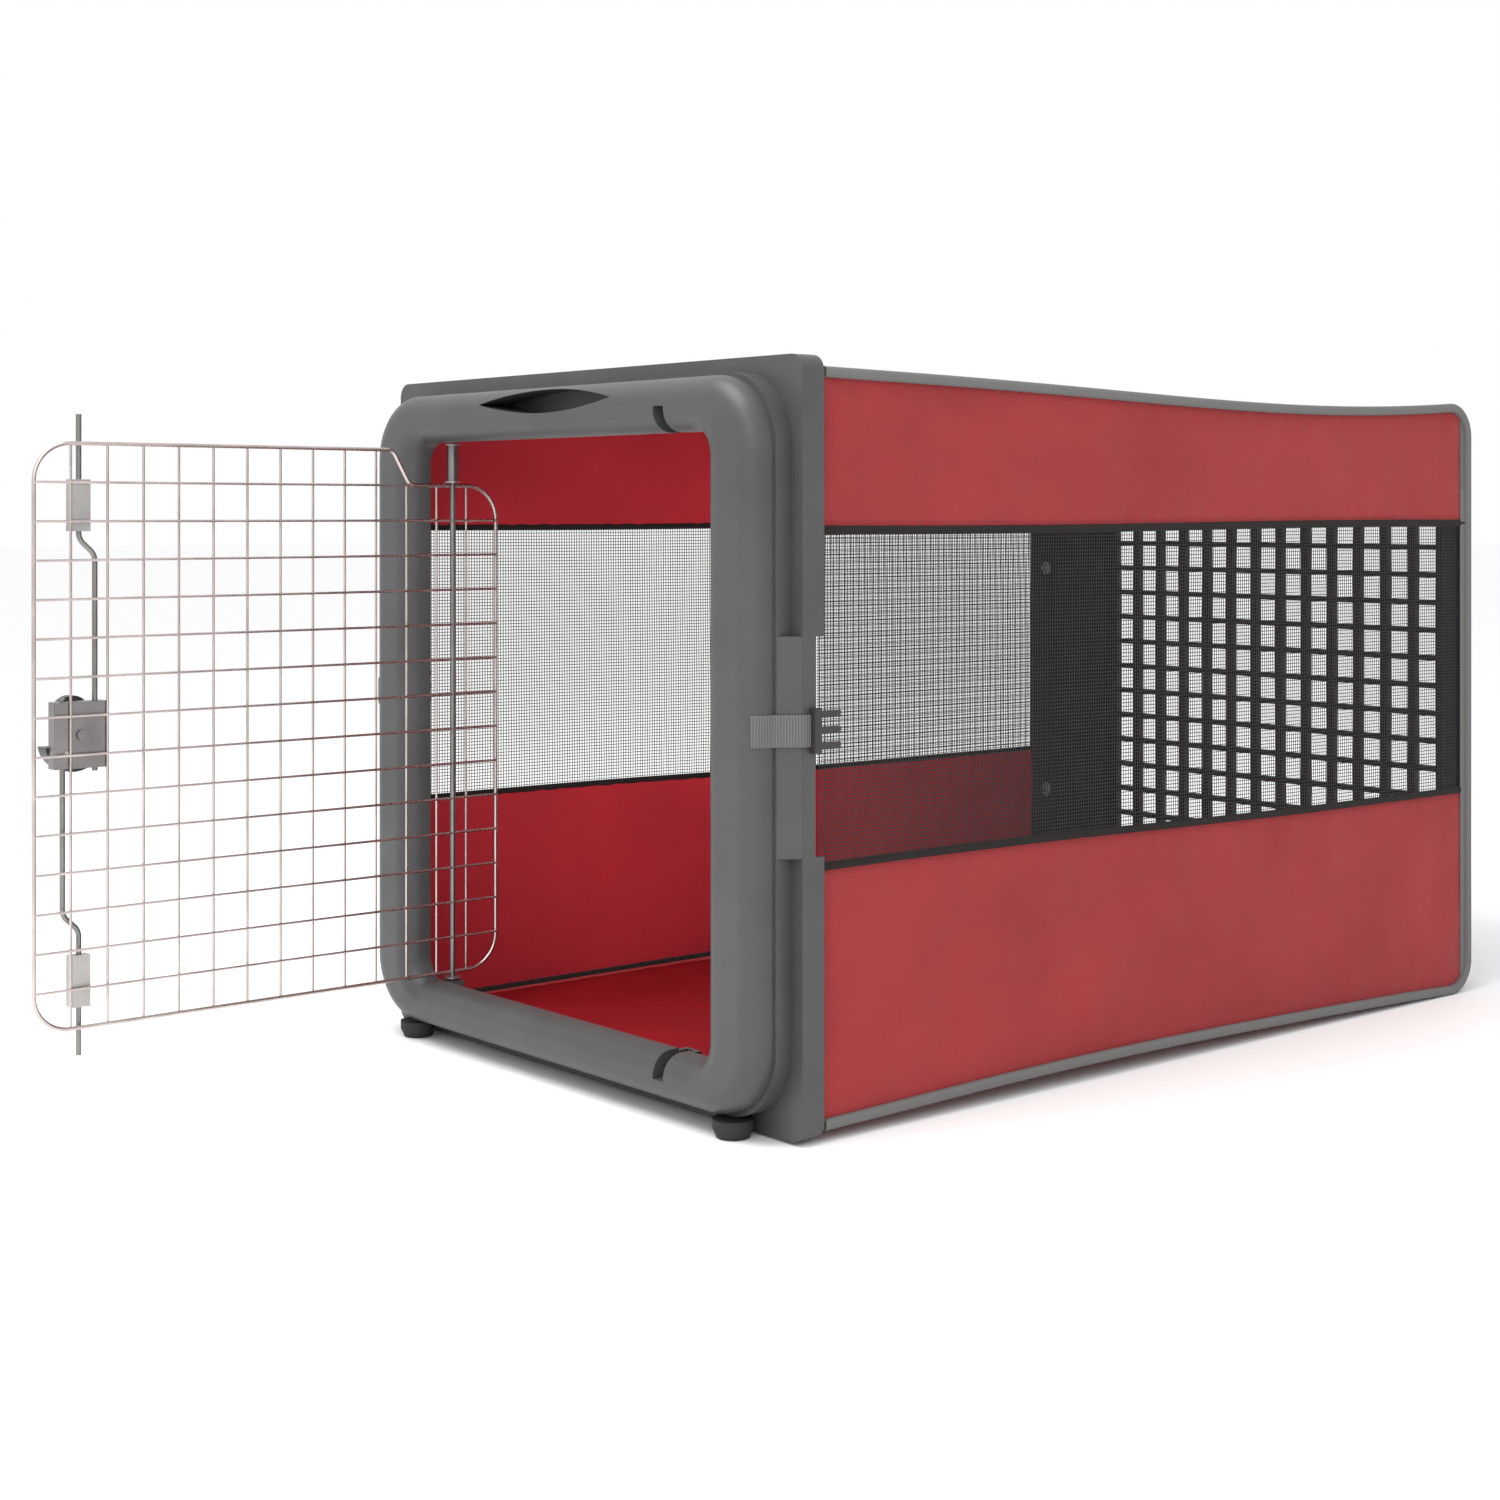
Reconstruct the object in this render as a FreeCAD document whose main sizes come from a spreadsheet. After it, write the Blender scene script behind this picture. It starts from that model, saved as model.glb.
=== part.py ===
"""Collapsible pet kennel: moulded front shell with a wire door, fabric body with mesh
windows, moulded rear shell with a ventilation grille.

Axes: +Z up, the doorway faces -Y, +X is to the right of somebody facing the doorway.
The origin lies on the floor, at the middle of the footprint with the door open at a right angle.
Every depth below is counted from the face of the front shell towards the rear.
Door pieces are drawn closed, about the pivot axis, and then turned open by their placement.
"""
import FreeCAD
import Part

import math
import os

import Sketcher
from FreeCAD import Placement, Rotation, Vector

SIZES = [
    # name, millimetres or degrees, meaning
    ("bodyDepth", 980.0, "face of the front shell to the back of the rear shell"),
    ("bodyWidth", 570.0, "over the flange of the front shell"),
    ("bodyHeight", 597.0, "floor to the top of the flange"),
    ("flangeLift", 2.0, "floor to the underside of the flange"),
    ("shellWall", 3.0, "wall of the front shell"),
    ("flangeStep", 12.0, "flange stands outside the middle band by this"),
    ("bandStep", 2.4, "middle band stands outside the face band by this"),
    ("faceBand", 23.0, "depth of the face band"),
    ("middleBand", 16.0, "depth of the middle band"),
    ("flangeBand", 22.0, "depth of the flange"),
    ("shellCorner", 58.0, "outline corner radius of the face band"),
    ("flangeCorner", 13.0, "outline corner radius of the flange"),
    ("faceRound", 17.0, "rounding of the outer edge of the face"),
    ("openingWidth", 424.0, "doorway width"),
    ("openingHeight", 486.0, "doorway height"),
    ("openingSill", 54.0, "floor to the doorway sill"),
    ("openingCorner", 20.0, "doorway corner radius"),
    ("returnRound", 18.0, "rounded return from the face into the doorway"),
    ("lipWall", 3.0, "flat of the doorway lip behind the return"),
    ("handleWidth", 190.0, "finger recess, tip to tip"),
    ("handleHeight", 20.0, "finger recess, height at the middle"),
    ("handleDepth", 36.0, "finger recess, depth from the front of the face"),
    ("handleDrop", 27.0, "flange top to the middle of the finger recess"),
    ("scoopLow", 217.0, "floor to the lower end of the side cut-out"),
    ("scoopHigh", 384.0, "floor to the upper end of the side cut-out"),
    ("footRadius", 16.0, "rubber foot"),
    ("footDepth", 21.0, "face to the foot centre"),
    ("footInset", 60.0, "foot centre in from the side of the shell"),
    ("fabricInset", 5.0, "outside of the fabric in from the flange edge"),
    ("fabricBase", 10.0, "floor to the underside of the fabric"),
    ("fabricDrop", 11.0, "flange top to the outside of the roof"),
    ("fabricThick", 3.0, "padded fabric sheet"),
    ("meshThick", 1.0, "mesh of the side windows"),
    ("windowLow", 207.0, "floor to the lower edge of the side window"),
    ("windowHigh", 464.0, "floor to the upper edge of the side window"),
    ("pipingWidth", 7.0, "tape round the side window"),
    ("bindingWidth", 12.0, "tape along the body edges"),
    ("bindingThick", 2.5, "thickness of that tape"),
    ("tubeRadius", 5.0, "sleeved spring wire along the floor edges"),
    ("matThick", 12.0, "loose floor mat"),
    ("matGap", 14.0, "mat in from the fabric at the sides"),
    ("fitGap", 0.5, "clearance of pieces nested in each other"),
    ("rearDepth", 90.0, "depth of the rear shell"),
    ("rearTaperDepth", 46.0, "depth of its tapered part"),
    ("rearTaper", 36.0, "how far the taper comes in"),
    ("rearWall", 4.0, "wall of the rear shell"),
    ("rearCorner", 40.0, "outline corner radius of the rear shell"),
    ("grilleBorder", 16.0, "rear plate edge to the grille"),
    ("grilleThick", 8.0, "depth of the grille bars"),
    ("grilleBarWide", 9.0, "width of the upright bars"),
    ("grilleBarTall", 5.5, "height of the level bars"),
    ("cell", 31.5, "pitch of the door wires"),
    ("doorColumns", 14.0, "cells across the door"),
    ("doorRows", 15.0, "cells up the door"),
    ("doorSillGap", 6.5, "doorway sill to the bottom wire of the door"),
    ("pivotInset", 18.0, "doorway edge to the pivot axis"),
    ("pivotDepth", 38.0, "face to the pivot axis"),
    ("pivotBack", 46.5, "pivot axis to the hinge-side edge of the door"),
    ("doorOpen", 90.0, "angle of the door as stored"),
    ("frameWire", 3.4, "diameter of the edge wire"),
    ("meshWire", 2.2, "diameter of the grid wires"),
    ("pivotRod", 5.0, "diameter of the pivot rod"),
    ("runningGap", 0.08, "radial clearance of a turning or sliding fit"),
    ("boltRod", 4.5, "diameter of the bolts"),
    ("boltPlane", 8.0, "door wires to the bolt axes"),
    ("boltReach", 24.0, "bolt tip beyond the edge wire"),
    ("boltInset", 41.2, "free edge to the bolt tips"),
    ("boltTravel", 22.0, "travel of each bolt"),
    ("boltSpread", 13.85, "pinion axis to each bolt inside the latch"),
    ("latchWidth", 44.5, "latch, across the door"),
    ("latchHeight", 54.0, "latch, up the door"),
    ("latchDepth", 11.5, "depth of the latch case"),
    ("latchPlate", 1.2, "steel plate of the latch"),
    ("pinionPitch", 9.0, "pitch radius of the latch pinion"),
    ("strapWidth", 25.0, "webbing width"),
    ("strapThick", 1.6, "webbing thickness"),
    ("strapHeight", 313.0, "floor to the middle of the strap"),
]
PINION_TEETH = 10
GEAR_THICK = 4.8
GRILLE_COLUMNS = 13
GRILLE_ROWS = 16

doc = FreeCAD.newDocument("kennel")
sheet = doc.addObject("Spreadsheet::Sheet", "Sizes")
for line, (alias, value, meaning) in enumerate(SIZES, start=1):
    sheet.set(f"A{line}", str(value))
    sheet.setAlias(f"A{line}", alias)
    sheet.set(f"B{line}", meaning)
doc.recompute()
size = {alias: float(sheet.get(alias)) for alias, value, meaning in SIZES}

NODES = []


def s(text):
    """Write an expression, with every size name taken from the sheet."""
    for alias in sorted(size, key=len, reverse=True):
        text = text.replace("@" + alias, "Sizes." + alias)
    return text


# Derived lengths, written once as expressions over the sheet.
DOOR_WIDTH = "@cell * @doorColumns"
DOOR_REACH = f"({DOOR_WIDTH} - @pivotBack)"
DOOR_LOW = "(@openingSill + @doorSillGap)"
DOOR_HIGH = f"({DOOR_LOW} + @cell * @doorRows)"
FACE_Y = f"(({DOOR_REACH} + @frameWire / 2 - @pivotDepth - @bodyDepth) / 2)"
SHELL_DEPTH = "(@faceBand + @middleBand + @flangeBand)"
MID_INSET = "@flangeStep"
FACE_INSET = "(@flangeStep + @bandStep)"
FABRIC_X = "(@bodyWidth / 2 - @fabricInset)"
FABRIC_TOP = "(@bodyHeight - @fabricDrop)"
FABRIC_FRONT = f"({SHELL_DEPTH} - @flangeBand + @shellWall)"
REAR_START = "(@bodyDepth - @rearDepth)"
FABRIC_REAR = "(@bodyDepth - @rearTaperDepth - @rearWall)"
PIVOT_X = "(-@openingWidth / 2 + @pivotInset)"
BOLT_U = f"({DOOR_REACH} - @boltInset)"
LATCH_Z = f"(({DOOR_LOW} + {DOOR_HIGH}) / 2)"


def number(text):
    """Value of a derived length, for the pieces that are shaped in code."""
    for alias in sorted(size, key=len, reverse=True):
        text = text.replace("@" + alias, repr(size[alias]))
    value = FreeCAD.Units.parseQuantity(text.replace(" ", ""))
    return float(value.Value)


def bind(obj, **expressions):
    """Bind properties to the sheet; a double underscore stands for a dot."""
    for name, text in expressions.items():
        obj.setExpression(name.replace("__", "."), s(text))
    return obj


def place(obj, x="0", y="0", z="0"):
    """Bind an object's position."""
    return bind(obj, Placement__Base__x=x, Placement__Base__y=y, Placement__Base__z=z)


def keep(obj, label, door=False):
    """Make an object a sub-part: give it its label and its place in the frame."""
    obj.Label = label
    if door:
        obj.Placement = Placement(obj.Placement.Base, Rotation(Vector(0, 0, -1), size["doorOpen"]))
        bind(obj, Placement__Base__x=PIVOT_X, Placement__Base__y=f"{FACE_Y} + @pivotDepth",
             Placement__Rotation__Angle="@doorOpen")
    else:
        bind(obj, Placement__Base__y=FACE_Y)
    NODES.append(obj)
    return obj


def box(name, x, y, z, length, width, height):
    """Box from its low corner and its three sides."""
    obj = doc.addObject("Part::Box", name)
    bind(obj, Length=length, Width=width, Height=height)
    return place(obj, x, y, z)


def cylinder(name, radius, height, x, y, z, axis=Vector(0, 0, 1)):
    """Cylinder from the middle of its first end along an axis."""
    obj = doc.addObject("Part::Cylinder", name)
    bind(obj, Radius=radius, Height=height)
    obj.Placement = Placement(Vector(), Rotation(Vector(0, 0, 1), axis))
    return place(obj, x, y, z)


def fuse(name, pieces):
    """Join pieces into one solid."""
    obj = doc.addObject("Part::MultiFuse", name)
    obj.Shapes = pieces
    obj.Refine = True
    return obj


def group(name, pieces):
    """Hold separate pieces in one node."""
    obj = doc.addObject("Part::Compound", name)
    obj.Links = pieces
    return obj


def cut(name, base, tools):
    """Take tools away from a base."""
    tool = tools[0] if len(tools) == 1 else fuse(name + "_tools", tools)
    obj = doc.addObject("Part::Cut", name)
    obj.Base = base
    obj.Tool = tool
    obj.Refine = True
    return obj


def origin_plane(body, role):
    """Origin plane of a body, by role."""
    return next(f for f in body.Origin.OriginFeatures if f.Role == role)


def rectangle(body, name, y, width, height, low):
    """Sketch of an upright rectangle, symmetric about the middle, at depth y."""
    sketch = body.newObject("Sketcher::SketchObject", name)
    sketch.AttachmentSupport = [(origin_plane(body, "XZ_Plane"), "")]
    sketch.MapMode = "FlatFace"
    sketch.setExpression("AttachmentOffset.Base.z", s(f"-({y})"))
    half, bottom, tall = number(f"({width}) / 2"), number(low), number(height)
    corners = [(-half, bottom), (half, bottom), (half, bottom + tall), (-half, bottom + tall)]
    for a, b in zip(corners, corners[1:] + corners[:1]):
        sketch.addGeometry(Part.LineSegment(Vector(*a, 0), Vector(*b, 0)), False)
    for i in range(4):
        sketch.addConstraint(Sketcher.Constraint("Coincident", i, 2, (i + 1) % 4, 1))
    sketch.addConstraint(Sketcher.Constraint("Horizontal", 2))
    for i in (1, 3):
        sketch.addConstraint(Sketcher.Constraint("Vertical", i))
    sketch.addConstraint(Sketcher.Constraint("Symmetric", 0, 1, 0, 2, -2))
    driven = [("DistanceX", (0, 1, 0, 2), 2 * half, width), ("DistanceY", (1, 1, 1, 2), tall, height),
              ("DistanceY", (-1, 1, 0, 1), bottom, low)]
    for kind, where, value, text in driven:
        index = sketch.addConstraint(Sketcher.Constraint(kind, *where, value))
        sketch.setExpression(f"Constraints[{index}]", s(text))
    return sketch


def edges_where(shape, test):
    """Names of the edges that pass a test."""
    return [f"Edge{i + 1}" for i, edge in enumerate(shape.Edges) if test(edge)]


def along_y(edge):
    """True for an edge that runs front to back."""
    box_ = edge.BoundBox
    return box_.YLength > 1 and box_.XLength < 1e-6 and box_.ZLength < 1e-6


def fillet(body, name, test, radius):
    """Round the edges of a body's tip that pass a test."""
    doc.recompute()
    base = body.Tip
    obj = body.newObject("PartDesign::Fillet", name)
    obj.Base = (base, edges_where(base.Shape, test))
    obj.setExpression("Radius", s(radius))
    return obj


def prism(name, y, depth, width, height, low, corner):
    """Body: an upright block from depth y, with round corners when a radius is given."""
    body = doc.addObject("PartDesign::Body", name)
    sketch = rectangle(body, name + "_outline", y, width, height, low)
    pad = body.newObject("PartDesign::Pad", name + "_pad")
    pad.Profile = sketch
    pad.Reversed = True
    bind(pad, Length=depth)
    if corner:
        fillet(body, name + "_corners", along_y, corner)
    return body


# ---------------------------------------------------------------- front shell

def band(name, y, depth, inset, corner):
    """One outer band of the front shell."""
    return prism(name, y, depth, f"@bodyWidth - 2 * ({inset})",
                 f"@bodyHeight - @flangeLift - 2 * ({inset})", f"@flangeLift + {inset}", corner)


def face_band():
    """Face band: rounded outside, pierced by the doorway and rounded into it."""
    body = band("face_band", "0", "@faceBand + @lipWall", FACE_INSET, "@shellCorner")
    doorway = rectangle(body, "doorway_outline", "0", "@openingWidth", "@openingHeight", "@openingSill")
    pocket = body.newObject("PartDesign::Pocket", "doorway")
    pocket.Profile = doorway
    pocket.Type = "ThroughAll"
    pocket.Reversed = False
    doc.recompute()
    low = size["openingSill"] - 1
    high = size["openingSill"] + size["openingHeight"] + 1
    side = size["openingWidth"] / 2 + 1

    def in_doorway(edge):
        box_ = edge.BoundBox
        return max(-box_.XMin, box_.XMax) < side and box_.ZMin > low and box_.ZMax < high

    fillet(body, "doorway_corners", lambda e: along_y(e) and in_doorway(e), "@openingCorner")
    fillet(body, "return_round", lambda e: e.BoundBox.YMax < 1e-6 and in_doorway(e), "@returnRound")
    fillet(body, "face_round", lambda e: e.BoundBox.YMax < 1e-6, "@faceRound")
    return body


def handle_recess():
    """Lens-shaped prism, from two arcs, that lets fingers in behind the top of the face."""
    body = doc.addObject("PartDesign::Body", "handle_cut")
    sketch = body.newObject("Sketcher::SketchObject", "handle_outline")
    sketch.AttachmentSupport = [(origin_plane(body, "XZ_Plane"), "")]
    sketch.MapMode = "FlatFace"
    middle = number("@bodyHeight - @handleDrop")
    half, rise = size["handleWidth"] / 2, size["handleHeight"] / 2
    tips = Vector(-half, middle, 0), Vector(half, middle, 0)
    for sign in (1, -1):
        sketch.addGeometry(Part.Arc(tips[0], Vector(0, middle + sign * rise, 0), tips[1]), False)
    sketch.addConstraint(Sketcher.Constraint("Coincident", 0, 2, 1, 1))
    sketch.addConstraint(Sketcher.Constraint("Coincident", 0, 1, 1, 2))
    sketch.addConstraint(Sketcher.Constraint("Symmetric", 0, 1, 0, 2, -2))
    sketch.addConstraint(Sketcher.Constraint("Equal", 0, 1))
    arc_radius = "((@handleWidth / 2) ^ 2 + (@handleHeight / 2) ^ 2) / @handleHeight"
    index = sketch.addConstraint(Sketcher.Constraint("Radius", 0, (half ** 2 + rise ** 2) / (2 * rise)))
    sketch.setExpression(f"Constraints[{index}]", s(arc_radius))
    index = sketch.addConstraint(Sketcher.Constraint("DistanceX", 0, 2, 0, 1, 2 * half))
    sketch.setExpression(f"Constraints[{index}]", s("@handleWidth"))
    index = sketch.addConstraint(Sketcher.Constraint("DistanceY", -1, 1, 0, 1, middle))
    sketch.setExpression(f"Constraints[{index}]", s("@bodyHeight - @handleDrop"))
    pad = body.newObject("PartDesign::Pad", "handle_pad")
    pad.Profile = sketch
    pad.Reversed = True
    bind(pad, Length="@handleDepth")
    return body


def handle_pocket(outside):
    """Block behind the top of the face that closes the finger recess, kept inside the moulding."""
    block = box("handle_block", "-(@handleWidth / 2 + @shellWall)", "0",
                "@bodyHeight - @handleDrop - @handleHeight / 2 - @shellWall",
                "@handleWidth + 2 * @shellWall", "@handleDepth + @shellWall", "@handleHeight + 2 * @shellWall")
    pocket = doc.addObject("Part::MultiCommon", "handle_pocket")
    pocket.Shapes = [block, outside]
    return pocket


def ramp(side, sign):
    """Wedge that leads from the middle band up to the flange beside the cut-out."""
    step = size["faceBand"] + size["middleBand"]
    outer = size["bodyWidth"] / 2
    inner = outer - size["flangeStep"]
    profile = [(inner - 0.5, size["faceBand"] + 0.5), (outer - 0.01, step + 0.5), (inner - 0.5, step + 0.5)]
    points = [Vector(sign * x, y, size["scoopLow"]) for x, y in profile]
    obj = doc.addObject("Part::Feature", f"ramp_{side}")
    obj.Shape = Part.Face(Part.makePolygon(points + points[:1])).extrude(
        Vector(0, 0, size["scoopHigh"] - size["scoopLow"]))
    return obj


def front_shell():
    """Hollow moulding: three stepped bands outside, doorway lip inside, open at the back."""
    wall = "@shellWall"
    outside = fuse("shell_outside", [
        face_band(),
        band("middle_band", "@faceBand", "@middleBand", MID_INSET, "@shellCorner - @bandStep"),
        band("flange_band", "@faceBand + @middleBand", "@flangeBand", "0", "@flangeCorner")])
    flange_hollow = band("flange_hollow", f"@faceBand + @middleBand + {wall}", "@flangeBand", wall,
                         f"@flangeCorner - {wall}")
    middle_hollow = band("middle_hollow", "@faceBand + @lipWall", "@middleBand + @flangeBand",
                         f"{MID_INSET} + {wall}", f"@shellCorner - @bandStep - {wall}")
    # Only the ring outside the thick doorway return is hollow in the face band.
    collar = "(@returnRound + @lipWall)"
    block = band("face_hollow_block", wall, "@faceBand + @lipWall", f"{FACE_INSET} + {wall}",
                 f"@shellCorner - {wall}")
    front = size["shellWall"] + 0.001
    fillet(block, "face_hollow_round", lambda e: e.BoundBox.YMax < front, f"@faceRound - {wall}")
    face_hollow = cut("face_hollow", block,
                      [prism("collar", "0", "@faceBand + @lipWall", f"@openingWidth + 2 * {collar}",
                             f"@openingHeight + 2 * {collar}", f"@openingSill - {collar}",
                             f"@openingCorner + {collar}")])
    doorway = prism("doorway_through", "@faceBand - 0.5", "@lipWall + 4", "@openingWidth",
                    "@openingHeight", "@openingSill", "@openingCorner")
    walls = cut("shell_walls", outside, [face_hollow, middle_hollow, flange_hollow, doorway])
    hollow = cut("shell_hollow", fuse("shell_pocketed", [walls, handle_pocket(outside)]), [handle_recess()])
    # The side cut-out: the flange is cut short and a ramp leads from the middle band up to it.
    ramps, notches = [], []
    tall = "@scoopHigh - @scoopLow"
    back = "(@faceBand + @middleBand + @flangeBand * 0.6)"
    for side, sign in (("left", -1), ("right", 1)):
        ramps.append(ramp(side, sign))
        notch_x = "@bodyWidth / 2 - @flangeStep - 1" if sign > 0 else "-(@bodyWidth / 2 + 1)"
        notches.append(box(f"notch_{side}", notch_x, back, "@scoopLow", "@flangeStep + 2", "@flangeBand",
                           tall))
    # Channels that let the extended bolts swing in behind the doorway lip.
    bolt_x = f"{PIVOT_X} + {BOLT_U} - @boltRod - 3"
    tip_gap = "(@boltReach - @doorSillGap + 3)"
    channel = dict(x=bolt_x, y="-1", length="2 * @boltRod + 4", width="@faceBand + @lipWall + 2",
                   height=f"{tip_gap} + 5")
    channels = [box("channel_top", z="@openingSill + @openingHeight - 5", **channel),
                box("channel_low", z=f"@openingSill - {tip_gap}", **channel)]
    keep(cut("front_shell", fuse("shell_ramped", [hollow, *ramps]), notches + channels), "front_shell")


def front_feet():
    """Two rubber feet under the middle band of the shell."""
    feet = []
    lift = f"(@flangeLift + {MID_INSET})"
    for side, sign in (("left", "-"), ("right", "")):
        x = f"{sign}(@bodyWidth / 2 - @footInset)"
        pad = doc.addObject("Part::Cone", f"foot_{side}")
        bind(pad, Radius1="@footRadius * 0.8", Radius2="@footRadius", Height=f"{lift} / 2")
        place(pad, x, "@footDepth", "0")
        neck = cylinder(f"foot_neck_{side}", "@footRadius", f"{lift} / 2", x, "@footDepth", f"{lift} / 2")
        feet.append(fuse(f"foot_whole_{side}", [pad, neck]))
    keep(group("foot_pair", feet), "front_feet")


def clamp_ring():
    """Ring inside the flange that clamps the front end of the fabric."""
    inset = "(@fabricInset + @fabricThick + @fitGap)"
    low = "@fabricBase + @fabricThick + @fitGap"
    tall = f"{FABRIC_TOP} - @fabricBase - 2 * (@fabricThick + @fitGap)"
    wall = "5"
    span = dict(y=FABRIC_FRONT, depth="@flangeBand - 2 * @shellWall")
    outer = prism("clamp_outer", width=f"@bodyWidth - 2 * {inset}", height=tall, low=low, corner="12",
                  **span)
    inner = prism("clamp_inner", width=f"@bodyWidth - 2 * {inset} - 2 * {wall}",
                  height=f"{tall} - 2 * {wall}", low=f"{low} + {wall}", corner="8", **span)
    ring = cut("clamp_ring_cut", outer, [inner])
    keep(ring, "fabric_clamp_ring")


def pivot_hooks():
    """Moulded sockets behind the doorway lip that hold the two ends of the pivot rod."""
    hooks = []
    for name, z in (("top", "@openingSill + @openingHeight + 1"), ("low", "@openingSill - 13")):
        solid = box(f"hook_{name}_block", f"{PIVOT_X} - 8", "@faceBand + @lipWall", z,
                    "16", "@pivotDepth - @faceBand - @lipWall + 7", "12")
        bore = cylinder(f"hook_{name}_bore", "@pivotRod / 2 + @runningGap", "20", PIVOT_X, "@pivotDepth",
                        f"{z} - 4")
        hooks.append(cut(f"hook_{name}", solid, [bore]))
    keep(group("pivot_hooks", hooks), "pivot_hooks")


def bolt_catches():
    """Stops behind the doorway lip, one over each bolt, that the closed door's bolts rest in."""
    x = f"{PIVOT_X} + {BOLT_U}"
    y0 = "@faceBand + @lipWall"
    behind = "@pivotDepth - @boltPlane + @boltRod / 2 + 0.6"
    catches, fingers = [], []
    for name, z in (("top", "@openingSill + @openingHeight + 1"), ("low", "@openingSill - 21")):
        block = box(f"catch_{name}_block", f"{x} - 9", y0, z, "18", f"{behind} + 3 - ({y0})", "20")
        slot = box(f"catch_{name}_slot", f"{x} - 4.5", f"{y0} - 1", f"{z} - 1", "9",
                   f"{behind} - ({y0}) + 1", "22")
        catches.append(cut(f"catch_{name}", block, [slot]))
        # Each finger crosses its channel and is rooted a millimetre deep in both cheeks.
        finger_z = "@openingSill + @openingHeight + 3" if name == "top" else "@openingSill - 13"
        fingers.append(box(f"finger_{name}", f"{x} - @boltRod - 4", "@faceBand - 2", finger_z,
                           "2 * @boltRod + 6", "1.4", "10"))
    keep(group("bolt_catches", catches), "bolt_catches")
    keep(group("catch_fingers", fingers), "catch_fingers")


def straps():
    """A webbing strap and the prong half of a side-release buckle on each side."""
    half, step = size["bodyWidth"] / 2, size["faceBand"] + size["middleBand"]
    thick = size["strapThick"]
    side_face = half - number(FACE_INSET)
    round_x, round_y = side_face - size["faceRound"], size["faceRound"]
    low = size["strapHeight"] - size["strapWidth"] / 2

    def outline(gap):
        """Strap surface this far off the shell: round the face edge, up the ramp, over the flange."""
        points = []
        for degrees in (50.0, 25.0, 0.0):
            angle = math.radians(degrees)
            reach = size["faceRound"] + gap
            points.append((round_x + reach * math.cos(angle), round_y - reach * math.sin(angle)))
        points.append((side_face + gap, size["faceBand"] - 2.5))
        points.append((half - size["flangeStep"] + gap, size["faceBand"] - 0.5 - gap / 2))
        points.append((half + gap, step + 0.5 - gap / 2))
        points.append((half + gap, step + 7.3))
        return points

    for side, sign in (("left", -1), ("right", 1)):
        points = [Vector(sign * x, y, low) for x, y in outline(0.6) + outline(0.6 + thick)[::-1]]
        face = Part.Face(Part.makePolygon(points + points[:1]))
        shape_node(f"strap_{side}", face.extrude(Vector(0, 0, size["strapWidth"])), door=False)
        bar_x = "@bodyWidth / 2 + 0.3" if sign > 0 else "-(@bodyWidth / 2 + 0.3 + 6)"
        prong_x = "@bodyWidth / 2 + 1" if sign > 0 else "-(@bodyWidth / 2 + 1 + 4.5)"
        bar_y = "@faceBand + @middleBand + 7.3"
        pieces = [box(f"buckle_bar_{side}", bar_x, bar_y, "@strapHeight - 17", "6", "7", "34")]
        for k, offset in enumerate((-14.5, -2.5, 9.5)):
            pieces.append(box(f"prong_{side}_{k}", prong_x, f"{bar_y} + 6.7", f"@strapHeight + {offset}",
                              "4.5", "20", "5"))
        keep(fuse(f"buckle_solid_{side}", pieces), f"buckle_{side}")


# ---------------------------------------------------------------- fabric body

def side_x(sign, inset, thick):
    """Low x of an upright sheet whose outside lies inset from the fabric's outside."""
    return f"{FABRIC_X} - {inset} - {thick}" if sign > 0 else f"-({FABRIC_X} - {inset})"


def sheet_box(label, x, y, z, length, width, height):
    """Kept box at depth y behind the face."""
    obj = keep(box(label + "_sheet", x, y, z, length, width, height), label)
    return bind(obj, Placement__Base__y=f"{FACE_Y} + {y}")


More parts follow.
